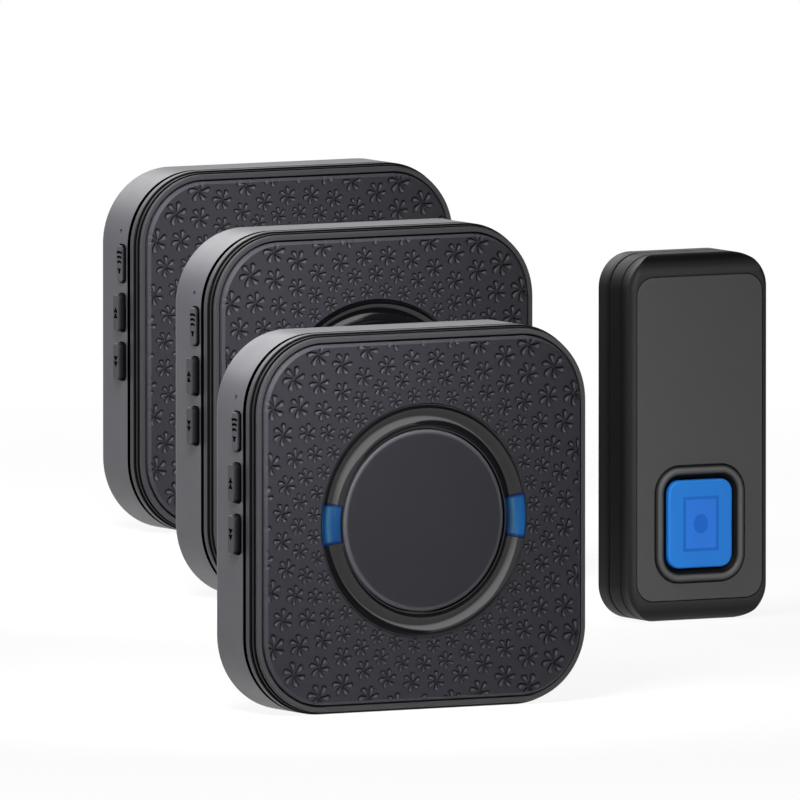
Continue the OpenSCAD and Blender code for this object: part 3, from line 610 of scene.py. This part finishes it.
def ring_quads(rows: int, columns: int) -> Array:
    """Joins a grid of points into quads, closed along both ways.

    Args:
        rows: number of rows.
        columns: points in a row.

    Returns:
        One row of four point numbers for each quad, that of row r and column c being r * columns + c.
    """
    row, column = np.mgrid[0:rows, 0:columns]
    after, beside = (row + 1) % rows, (column + 1) % columns
    here, above = row * columns, after * columns
    return np.stack((here + column, above + column, above + beside, here + beside), axis=-1).reshape(-1, 4)


def new_piece(
    name: str, points: Array, faces: list, finish: Finish, body: str,
) -> bpy.types.Object:
    """Makes a mesh object that rides on a body.

    Args:
        name: name of the piece.
        points: rows of x, y and z in metres, in the set's frame.
        faces: lists of point numbers, seen from outside against the clock.
        finish: finish of the whole piece.
        body: name of the CAD body.

    Returns:
        The new object.
    """
    mesh = bpy.data.meshes.new(name)
    mesh.from_pydata(np.asarray(points).tolist(), [], faces)
    mesh.materials.append(material_of(finish))
    mesh.validate()
    mesh.update()
    piece = bpy.data.objects.new(name, mesh)
    bpy.context.scene.collection.objects.link(piece)
    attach(piece, body)
    LOG.info("%s: %d points on %s", name, len(mesh.vertices), body)
    return piece


def prism(outline: Array, low: float, high: float) -> tuple[Array, list]:
    """Carries a flat outline straight up from one level to another.

    Args:
        outline: rows of u and v, against the clock.
        low: lower level.
        high: upper level.

    Returns:
        Points as rows of u, v and level, and faces: the two ends and one wall for each side.
    """
    count = len(outline)
    lower = np.column_stack((outline, np.full(count, low)))
    upper = np.column_stack((outline, np.full(count, high)))
    here = np.arange(count)
    beside = (here + 1) % count
    walls = np.column_stack((here, beside, beside + count, here + count))
    faces = [here[::-1].tolist(), (here + count).tolist(), *walls.tolist()]
    return np.vstack((lower, upper)), faces


def gather(parts: list[tuple[Array, list]]) -> tuple[Array, list]:
    """Joins several meshes into one.

    Args:
        parts: points and faces of each mesh.

    Returns:
        All points, and all faces with their numbers moved on by the points before theirs.
    """
    starts = np.cumsum([0] + [len(points) for points, _ in parts[:-1]])
    faces = [[int(k) + int(start) for k in face] for start, (_, own) in zip(starts, parts) for face in own]
    return np.vstack([points for points, _ in parts]), faces


def rounded_reach(angle: Array, half: float, corner: float) -> Array:
    """Distance from the centre to a rounded square's outline.

    A ray meets the straight side at half over the larger of its cosine and sine. Where that point lies
    past the side's end, the ray meets the corner's circle instead, whose centre is half - corner along
    both axes: the larger root of the quadratic in the distance.

    Args:
        angle: directions in radians.
        half: half the square's width.
        corner: corner radius.

    Returns:
        One distance for each direction.
    """
    along, up = np.abs(np.cos(angle)), np.abs(np.sin(angle))
    side = half / np.maximum(along, up)
    centre = half - corner
    reach = centre * (along + up)
    curved = reach + np.sqrt(np.maximum(reach**2 - 2.0 * centre**2 + corner**2, 0.0))
    return np.where(side * np.minimum(along, up) <= centre, side, curved)


@dataclass(frozen=True)
class FlowerRings:
    """Flowers in rings round the face's centre, turned with their places, each second ring half a step on."""

    radii: tuple[float, ...] = (29.1, 33.1, 37.4, 42.8, 48.3)
    per_ring: int = 36
    width_share: float = 0.72
    depth_share: float = 0.1
    petals: Petals = FACE.petals

    def half(self, number: int) -> float:
        """Radius of a flower of one ring, in millimetres."""
        return self.width_share * self.radii[number] * TURN / self.per_ring / 2.0

    def local(self, number: int, x: Array, y: Array, angle: Array) -> tuple[Array, Array]:
        """Turns places on the face into flower coordinates.

        The ring's flower nearest to a direction is found by rounding the direction to the ring's pitch. The
        step from its centre is then turned back by the centre's direction and divided by its radius.

        Args:
            number: number of the ring.
            x: across, in millimetres.
            y: up, in millimetres.
            angle: the directions whose nearest flowers count.

        Returns:
            Coordinates away from the ring's centre and along the ring, in flower radii.
        """
        pitch = TURN / self.per_ring
        phase = pitch / 2.0 if number % 2 == 0 else 0.0
        centre = phase + pitch * np.round((angle - phase) / pitch)
        right, up = np.cos(centre), np.sin(centre)
        across, along = x - self.radii[number] * right, y - self.radii[number] * up
        half = self.half(number)
        return (across * right + along * up) / half, (along * right - across * up) / half

    def depth(self, number: int, x: Array, y: Array) -> Array:
        """Depth of one ring's relief at points of the face, in millimetres."""
        signed = self.petals.signed(*self.local(number, x, y, np.arctan2(y, x)))
        return self.depth_share * self.half(number) * self.petals.hollow(signed)

    def sunk(self, x: Array, y: Array) -> Array:
        """Depth of the relief at points of the face, the deepest of all rings, in millimetres."""
        return np.max([self.depth(number, x, y) for number in range(len(self.radii))], axis=0)

    def coordinates(self, x: Array, y: Array) -> Array:
        """Flower coordinates of faces' corners, those of a face all in the flower nearest to its middle.

        Args:
            x: across, one row of corners for each face.
            y: up, in the same way.

        Returns:
            Rows of u, v and the flower's radius in millimetres.
        """
        middle_x, middle_y = x.mean(axis=1), y.mean(axis=1)
        angle = np.arctan2(middle_y, middle_x)
        numbers = range(len(self.radii))
        reach = [np.hypot(*self.local(number, middle_x, middle_y, angle)) for number in numbers]
        nearest = np.argmin(reach, axis=0)
        found = np.zeros((*x.shape, 3))
        for number in numbers:
            u, v = self.local(number, x, y, angle[:, None])
            own = np.stack((u, v, np.full_like(u, self.half(number))), axis=-1)
            found = np.where((nearest == number)[:, None, None], own, found)
        return found


@dataclass
class FacePlate:
    """Face plate with its relief, a chamfer round the outside and a hole for the ring."""

    half: float
    seat: float
    face: float
    corner: float = 15.6
    chamfer: float = 0.65
    hole_r: float = 27.15
    columns: int = 972
    rows: int = 90
    flowers: FlowerRings = FlowerRings()

    @classmethod
    def of(cls, place: FaceFrame) -> "FacePlate":
        """Reads the plate's width, seat and face from a chime's CAD node."""
        low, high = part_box(f"{place.unit}_face_plate")
        return cls((high.x - low.x) / 2.0 / MM, (place.back - high.y) / MM, (place.back - low.y) / MM)

    def build(self, place: FaceFrame) -> None:
        """Makes the plate, which stands for the CAD node, as one closed grid in polar form.

        A column is a direction, and a row a share of the way from the hole to the chamfer, with equal
        ratios of the distance between rows, since the flowers grow with it. The face's level is lowered
        by the relief. Three more rows go down the chamfer and the side and back along the underside.

        Args:
            place: the chime's face frame.
        """
        angle = np.arange(self.columns) * TURN / self.columns
        right, up = np.cos(angle), np.sin(angle)
        flat_reach = rounded_reach(angle, self.half - self.chamfer, self.corner - self.chamfer)
        share = np.linspace(0.0, 1.0, self.rows)[:, None]
        reach = self.hole_r ** (1.0 - share) * flat_reach[None, :] ** share
        x, y = reach * right, reach * up
        top = np.stack((x, y, self.face - self.flowers.sunk(x, y)), axis=-1)
        outer = rounded_reach(angle, self.half, self.corner)
        hole = np.full_like(angle, self.hole_r)
        rim = [(outer, self.face - self.chamfer), (outer, self.seat), (hole, self.seat)]
        sides = [np.column_stack((r * right, r * up, np.full_like(r, z))) for r, z in rim]
        grid = np.concatenate((top, np.stack(sides)))
        faces = ring_quads(len(grid), self.columns)
        name = f"{place.unit}_face_relief"
        plate = new_piece(name, place.to_set(grid), faces.tolist(), FACE, ROOT)
        plate.data.materials.append(material_of(FACE_EDGE_HIGHLIGHT))
        self.mark(plate.data, grid.reshape(-1, 3), faces)
        self.sharpen(plate.data)
        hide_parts(f"{place.unit}_face_plate")

    def mark(self, mesh: bpy.types.Mesh, points: Array, faces: Array) -> None:
        """Gives the face its flower coordinates, and the rest the lighter edge finish, which paints a
        highlight on the chamfer.

        Args:
            mesh: the plate's mesh.
            points: its points in the face frame.
            faces: its quads, row by row.
        """
        front = (self.rows - 1) * self.columns
        corners = points[faces[:front]]
        flowers = np.full((len(faces), 4, 3), NO_FLOWER)
        flowers[:front] = self.flowers.coordinates(corners[..., 0], corners[..., 1])
        mesh.attributes.new(FLOWER, "FLOAT_VECTOR", "CORNER").data.foreach_set("vector", flowers.ravel())
        finish = np.where(np.arange(len(faces)) < front, 0, 1).astype(np.int32)
        mesh.polygons.foreach_set("material_index", finish)

    def sharpen(self, mesh: bpy.types.Mesh) -> None:
        """Shades the plate smooth with sharp edges along its rim and its hole.

        Args:
            mesh: the plate's mesh, whose point numbers give the rows.
        """
        mesh.polygons.foreach_set("use_smooth", np.ones(len(mesh.polygons), bool))
        ends = np.empty(2 * len(mesh.edges), np.int32)
        mesh.edges.foreach_get("vertices", ends)
        row = ends.reshape(-1, 2) // self.columns
        hard = (row[:, 0] == row[:, 1]) & ((row[:, 0] == 0) | (row[:, 0] >= self.rows - 1))
        mesh.edges.foreach_set("use_edge_sharp", hard)
        mesh.update()


class KeyMark(Enum):
    """Signs moulded into the side keys."""

    LOUDNESS = "volume_key"
    NEXT = "up_key"
    PREVIOUS = "down_key"


@dataclass
class SideKeys:
    """Signs on the caps of a chime's three side keys."""

    wall: float = 44.0
    level: float = 10.9
    first: float = 21.8
    pitch: float = 11.9
    volume_proud: float = 0.8
    arrow_proud: float = 1.8
    sunk: float = 0.05
    raised: float = 0.006
    arrow_half: float = 1.05
    arrow_h: float = 1.35
    tip_half: float = 0.04
    wave_radii: tuple[float, ...] = (1.65, 2.8, 3.95)
    wave_halves: tuple[float, ...] = (1.0, 1.15, 1.3)
    wave_w: float = 0.58
    wave_points: int = 13
    horn_at: float = -1.15
    horn_neck: float = -1.75
    horn_foot: float = -2.4
    horn_half: float = 1.0
    neck_half: float = 0.45

    def arrows(self, direction: float) -> list[Array]:
        """Outlines of two arrowheads one above the other.

        Args:
            direction: 1 for up, -1 for down.

        Returns:
            Outlines as rows of h, towards the front, and v, upwards.
        """
        half, tip, height = self.arrow_half, self.tip_half, self.arrow_h
        base = np.array([[-half, 0.0], [half, 0.0], [tip, height], [-tip, height]])
        pair = [base - [0.0, height], base]
        if direction < 0:
            return [(outline * [1.0, -1.0])[::-1] for outline in pair]
        return pair

    def loudness(self) -> list[Array]:
        """Outlines of a small horn with three sound waves above it.

        A wave is a strip of a circle round the horn: out along the larger radius, back along the smaller.

        Returns:
            Outlines as rows of h and v.
        """
        neck, mouth, joint = self.neck_half, self.horn_half, self.horn_neck
        box = np.array([[-neck, self.horn_foot], [neck, self.horn_foot], [neck, joint], [-neck, joint]])
        horn = np.array([[-neck, joint], [neck, joint], [mouth, self.horn_at], [-mouth, self.horn_at]])
        waves = []
        for radius, half in zip(self.wave_radii, self.wave_halves):
            reach = math.asin(half / radius)
            sweep = np.linspace(TURN / 4.0 - reach, TURN / 4.0 + reach, self.wave_points)
            arc = np.column_stack((np.cos(sweep), np.sin(sweep)))
            out, back = (radius + self.wave_w / 2.0) * arc, (radius - self.wave_w / 2.0) * arc[::-1]
            waves.append(np.vstack((out, back)) + [0.0, self.horn_at])
        return [box, horn, *waves]

    def build(self, place: FaceFrame) -> None:
        """Makes one thin inlay for each key, on the key's body.

        Args:
            place: the chime's face frame.
        """
        outlines = (self.loudness(), self.arrows(1.0), self.arrows(-1.0))
        for number, (mark, loops) in enumerate(zip(KeyMark, outlines)):
            proud = self.volume_proud if mark is KeyMark.LOUDNESS else self.arrow_proud
            points, faces = gather([prism(loop, -self.sunk, self.raised) for loop in loops])
            h, v, out = points.T
            height = self.first - number * self.pitch
            placed = np.column_stack((-self.wall - proud - out, height + v, self.level + h))
            body = f"{place.unit}_{mark.value}"
            new_piece(f"{body}_sign", place.to_set(placed), faces, MARK, body)


@dataclass
class Cells:
    """Printed sleeves on the battery cells: a dark sleeve and a copper band at the raised end."""

    radius: float = 5.25
    skin: float = 0.06
    length: float = 43.5
    band: float = 13.0
    first: float = -34.05
    pitch: float = 10.9
    level: float = 7.45
    shift: float = -0.5
    count: int = 3
    sides: int = 64
    sharp: float = 40.0

    def tube(self, start: float, end: float, height: float) -> tuple[Array, list]:
        """A thin-walled tube along x: its wall's four corners carried round a circle.

        Args:
            start: x of one end.
            end: x of the other end.
            height: y of the axis.

        Returns:
            Points in the face frame, and faces.
        """
        angle = np.arange(self.sides) * TURN / self.sides
        inner, outer = self.radius - self.skin / 2.0, self.radius + self.skin
        corners = [(outer, start), (outer, end), (inner, end), (inner, start)]
        rows = []
        for r, x in corners:
            up, front = height + r * np.cos(angle), self.level + r * np.sin(angle)
            rows.append(np.column_stack((np.full_like(angle, x), up, front)))
        return np.vstack(rows), ring_quads(4, self.sides)[:, ::-1].tolist()

    def build(self, place: FaceFrame) -> None:
        """Makes the sleeves and the bands of one chime, every second cell the other way round.

        Args:
            place: the chime's face frame.
        """
        low, high = self.shift - self.length / 2.0, self.shift + self.length / 2.0
        split = high - self.band
        for kind, start, end, finish in (("sleeves", low, split, SLEEVE), ("bands", split, high, BAND)):
            tubes = []
            for number in range(self.count):
                span = (-end, -start) if number % 2 else (start, end)
                tubes.append(self.tube(*span, self.first + number * self.pitch))
            points, faces = gather(tubes)
            name = f"{place.unit}_cell_{kind}"
            piece = new_piece(name, place.to_set(points), faces, finish, ROOT)
            piece.data.set_sharp_from_angle(angle=math.radians(self.sharp))


@dataclass
class Unit:
    """One unit of the set: the name its CAD nodes start with, the piece at its back and all its finishes."""

    unit: str
    back: ClassVar[str]
    finishes: ClassVar[dict[str, Finish]]

    @property
    def place(self) -> FaceFrame:
        """The unit's face frame, from the piece at its back."""
        return FaceFrame.of(self.unit, self.back)

    def build(self) -> None:
        """Makes the unit's new pieces, which each kind of unit has of its own."""
        raise NotImplementedError

    def dress(self) -> None:
        """Puts its finish into every material slot of each CAD node."""
        for piece, finish in self.finishes.items():
            node, own = f"{self.unit}_{piece}", finish.at(self.place)
            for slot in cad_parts[node].material_slots:
                slot.material = material_of(own)
            LOG.info("%s: %s", node, own.name)


@dataclass
class Chime(Unit):
    """One square chime: its relief plate, key signs and cell sleeves, and the finishes of its CAD nodes."""

    back = "rear_case"
    finishes = {
        "rear_case": SEAM_SHADED, "front_cover": SEAM_SHADED, "face_plate": FACE, "ring_trim": RING,
        "light_windows": WINDOW, "centre_disc": DISC, "volume_key": VOLUME_KEY, "up_key": KEY,
        "down_key": KEY, "circuit_board": BOARD, "speaker": SPEAKER, "battery_door": CASE,
        "batteries": CELL, "battery_contacts": PLATED, "case_screws": SCREW,
    }

    def build(self) -> None:
        """Makes the chime's new pieces."""
        for maker in (FacePlate.of(self.place), SideKeys(), Cells()):
            maker.build(self.place)


@dataclass
class ButtonSign:
    """Sign on the push button: a frame, a pane inside it and a dot in the middle."""

    frame_w: float = 9.6
    frame_h: float = 13.0
    line: float = 0.7
    dot_w: float = 3.9
    dot_h: float = 4.6
    dot_sides: int = 48
    button_y: float = -20.4
    sunk: float = 0.05
    raised: float = 0.02

    def rectangle(self, inset: float) -> Array:
        """Corners of the frame's rectangle, moved in by an inset, against the clock."""
        size = np.array([self.frame_w, self.frame_h]) - 2 * inset
        return np.array([[-1, -1], [1, -1], [1, 1], [-1, 1]]) * size / 2.0

    def frame(self) -> tuple[Array, list]:
        """The frame as its section's four corners carried round a rectangle.

        Returns:
            Points as rows of x, y and level above the button, and faces.
        """
        outside, inside = self.rectangle(0.0), self.rectangle(self.line)
        corners = [(outside, -self.sunk), (outside, self.raised), (inside, self.raised), (inside, -self.sunk)]
        rows = [np.column_stack((loop, np.full(4, level))) for loop, level in corners]
        return np.vstack(rows), ring_quads(4, 4)[:, ::-1].tolist()

    def dot(self) -> Array:
        """Outline of the oval dot."""
        angle = np.arange(self.dot_sides) * TURN / self.dot_sides
        return np.column_stack((np.cos(angle) * self.dot_w / 2.0, np.sin(angle) * self.dot_h / 2.0))

    def build(self, place: FaceFrame) -> None:
        """Makes the frame, the pane and the dot on the button's body.

        Args:
            place: the transmitter's face frame.
        """
        parts = {
            "frame": (self.frame(), BUTTON_LINE),
            "pane": (prism(self.rectangle(self.line), -self.sunk, self.raised / 2.0), BUTTON_PANE),
            "dot": (prism(self.dot(), -self.sunk, self.raised), BUTTON_DOT),
        }
        body = "transmitter_push_button"
        surface = (place.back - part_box(body)[0].y) / MM
        for kind, ((points, faces), finish) in parts.items():
            placed = points + [0.0, self.button_y, surface]
            new_piece(f"{body}_{kind}", place.to_set(placed), faces, finish, body)


@dataclass
class Transmitter(Unit):
    """The transmitter: the sign on its button and the finishes of its CAD nodes."""

    back = "wall_plate"
    finishes = {
        "front_shell": SHELL, "face_panel": PANEL, "button_bezel": BEZEL, "push_button": BUTTON,
        "button_seal": RUBBER, "case_gasket": RUBBER, "rear_shell": SHELL, "circuit_board": BOARD,
        "coin_cell": PLATED, "case_screws": SCREW, "wall_plate": SHELL,
    }

    def build(self) -> None:
        """Makes the button's sign."""
        ButtonSign().build(self.place)


def face_centre(unit: str) -> Vector:
    """Gives the middle of a chime's face, in metres."""
    low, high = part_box(f"{unit}_face_plate")
    return Vector(((low.x + high.x) / 2.0, low.y, (low.z + high.z) / 2.0))


def stage_sheet(name: str, corners: tuple[Triple, ...], material: bpy.types.Material) -> bpy.types.Object:
    """Makes one flat piece of the stage.

    Args:
        name: name of the piece.
        corners: its four corners.
        material: its material.

    Returns:
        The new object, which isn't part of the set.
    """
    mesh = bpy.data.meshes.new(name)
    mesh.from_pydata(corners, [], [(0, 1, 2, 3)])
    mesh.materials.append(material)
    sheet = bpy.data.objects.new(name, mesh)
    bpy.context.scene.collection.objects.link(sheet)
    return sheet


@dataclass(frozen=True)
class Lamp:
    """A soft light: its place, the point it faces, its width and height, its watts and its beam's degrees."""

    name: str
    place: Triple
    aim: Triple
    size: Pair
    power: float
    glossy: bool = False
    spread: float = 180.0

    def hang(self) -> None:
        """Makes the light, which the camera doesn't see, and turns it to its aim."""
        data = bpy.data.lights.new(self.name, "AREA")
        data.shape = "RECTANGLE"
        data.size, data.size_y = self.size
        data.energy = self.power
        data.spread = math.radians(self.spread)
        lamp = bpy.data.objects.new(self.name, data)
        lamp.visible_glossy = self.glossy
        lamp.visible_camera = False
        lamp.location = self.place
        way = Vector(self.aim) - Vector(self.place)
        lamp.rotation_euler = way.to_track_quat("-Z", "Y").to_euler()
        bpy.context.scene.collection.objects.link(lamp)


@dataclass(frozen=True)
class Card:
    """A card that only gloss sees: black, or bright from full_at up and fading to a share at the floor."""

    name: str
    corners: tuple[Triple, ...]
    glow: float = 0.0
    full_at: float = 0.35
    low_share: float = 0.5
    colour: Colour = (0.01, 0.01, 0.01)

    def stand(self) -> None:
        """Makes the card."""
        material = bpy.data.materials.new(self.name)
        material.use_nodes = True
        nodes = Nodes(material.node_tree)
        inputs = {"Base Color": (*self.colour, 1.0), "Roughness": 1.0}
        if self.glow:
            height = nodes.part(nodes.place(), "Z")
            levels = (self.low_share * self.glow, self.glow)
            inputs["Emission Color"] = (*WHITE, 1.0)
            inputs["Emission Strength"] = nodes.between(height, (0.0, self.full_at), levels)
        nodes.fill(material.node_tree.nodes["Principled BSDF"], inputs)
        card = stage_sheet(self.name, self.corners, material)
        card.visible_camera = False
        card.visible_diffuse = False
        card.visible_shadow = False


KEY_LAMP = Lamp("key", (-0.2, -1.35, 0.75), (-0.1, -0.1, 0.1), (1.5, 1.2), 2.6)
SIDE_LAMP = Lamp("side", (-0.43, -0.45, 0.38), (-0.05, -0.1, 0.05), (0.3, 0.3), 0.7)
RIM_LAMP = Lamp("rim", (-0.15, 1.2, 0.8), (0.0, 0.0, 0.05), (1.4, 0.45), 8.0, glossy=True)
CARDS = (
    Card("softbox", ((-1.0, -1.38, 0.02), (0.85, -1.38, 0.02), (0.85, -1.38, 1.9), (-1.0, -1.38, 1.9)), 4.0),
    Card("right_card", ((0.85, -1.4, 0.0), (0.85, 1.0, 0.0), (0.85, 1.0, 2.0), (0.85, -1.4, 2.0))),
    Card("top_card", ((-0.9, -0.5, 1.45), (0.72, -0.5, 1.45), (0.72, 0.6, 1.45), (-0.9, 0.6, 1.45))),
)


@dataclass
class Studio:
    """Pale floor, soft light from the upper left and a camera with a long lens."""

    yaw: float = 29.0
    elevation: float = 5.0
    distance: float = 8.5
    scale: float = 4.34
    image: int = 800
    sensor: float = 36.0
    clip_end: float = 50.0
    face_pixel: Pair = (424.0, 520.5)
    floor_half: float = 4.0
    floor_paint: Colour = (0.9, 0.9, 0.9)
    floor_white: float = 0.9
    paint_to: float = 0.25
    white_from: float = 0.6
    fill: float = 0.11
    near_step: Triple = (-0.095, -0.08, 0.13)
    near_size: Pair = (0.1, 0.1)
    near_aim: Triple = (-0.025, 0.0, 0.025)
    near_spread: float = 80.0
    near_powers: tuple[float, ...] = (0.26, 0.248, 0.202)

    def camera(self) -> None:
        """Aims the camera so that the front chime's face centre falls on its pixel.

        The lens is the sensor's width times the distance over the width seen there, which is the image's
        width over the scale in pixels per millimetre.
        """
        yaw, elevation = math.radians(self.yaw), math.radians(self.elevation)
        level = math.cos(elevation)
        forward = Vector((math.sin(yaw) * level, math.cos(yaw) * level, -math.sin(elevation)))
        right = Vector((math.cos(yaw), -math.sin(yaw), 0.0))
        up = right.cross(forward)
        step = MM / self.scale
        across, down = (pixel - self.image / 2.0 for pixel in self.face_pixel)
        aim = face_centre(CHIMES[0]) - right * across * step + up * down * step
        data = bpy.data.cameras.new("camera")
        data.sensor_width = self.sensor
        data.lens = self.sensor * self.distance / (self.image * step)
        data.clip_end = self.clip_end
        camera = bpy.data.objects.new("camera", data)
        camera.location = aim - forward * self.distance
        camera.rotation_euler = forward.to_track_quat("-Z", "Y").to_euler()
        bpy.context.scene.collection.objects.link(camera)
        bpy.context.scene.camera = camera

    def seen_rays(self, nodes: Nodes) -> Term:
        """Gives 1 for the rays of the camera, of gloss and of glass, and 0 for others."""
        camera, gloss, glass = (nodes.number("LightPath", {}, f"Is {kind} Ray") for kind in SEEN_RAYS)
        return np.maximum(np.maximum(camera, gloss), glass)

    def floor(self) -> None:
        """Lays the floor: white to the camera from white_from on, and nearer in part paint with shadows."""
        material = bpy.data.materials.new("pale_floor")
        material.use_nodes = True
        tree = material.node_tree
        tree.nodes.remove(tree.nodes["Principled BSDF"])
        nodes = Nodes(tree)
        paint = nodes.add("BsdfDiffuse", {"Color": (*self.floor_paint, 1.0)}).outputs["BSDF"]
        white = nodes.add("Emission", {"Strength": 1.0}).outputs["Emission"]
        reach = nodes.vector("LENGTH", nodes.place())
        white_share = nodes.between(reach, (self.paint_to, self.white_from), (self.floor_white, 1.0))
        mix = nodes.add("MixShader", {"Fac": self.seen_rays(nodes) * white_share, 1: paint, 2: white})
        nodes.fill(tree.nodes["Material Output"], {"Surface": mix.outputs["Shader"]})
        half = self.floor_half
        corners = ((-half, -half, 0), (half, -half, 0), (half, half, 0), (-half, half, 0))
        stage_sheet("floor", corners, material)

    def sky(self) -> None:
        """Surrounds the set with an even light that the camera and gloss see as white."""
        world = bpy.data.worlds.new("studio")
        bpy.context.scene.world = world
        world.use_nodes = True
        nodes = Nodes(world.node_tree)
        level = nodes.between(self.seen_rays(nodes), UNIT_RANGE, (self.fill, 1.0))
        nodes.fill(world.node_tree.nodes["Background"], {"Color": (*WHITE, 1.0), "Strength": level})

    def near_lamp(self, unit: str, power: float) -> Lamp:
        """Gives a small lamp in front of a chime, at its upper left."""
        place, aim = (tuple(face_centre(unit) + Vector(step)) for step in (self.near_step, self.near_aim))
        return Lamp(f"{unit}_lamp", place, aim, self.near_size, power, spread=self.near_spread)

    def build(self) -> None:
        """Sets up the camera, the floor, the sky, the lamps and the cards."""
        self.camera()
        self.floor()
        self.sky()
        near = map(self.near_lamp, CHIMES, self.near_powers)
        for lamp in (KEY_LAMP, SIDE_LAMP, *near, RIM_LAMP):
            lamp.hang()
        for card in CARDS:
            card.stand()
        bpy.context.scene.view_settings.view_transform = "Standard"


def main() -> None:
    """Builds and dresses the set, then the studio."""
    logging.basicConfig(level=logging.INFO, format="%(name)s: %(message)s")
    for unit in (*(Chime(name) for name in CHIMES), Transmitter("transmitter")):
        unit.build()
        unit.dress()
        LOG.info("%s is dressed", unit.unit)
    Studio().build()


if __name__ == "__main__":
    main()
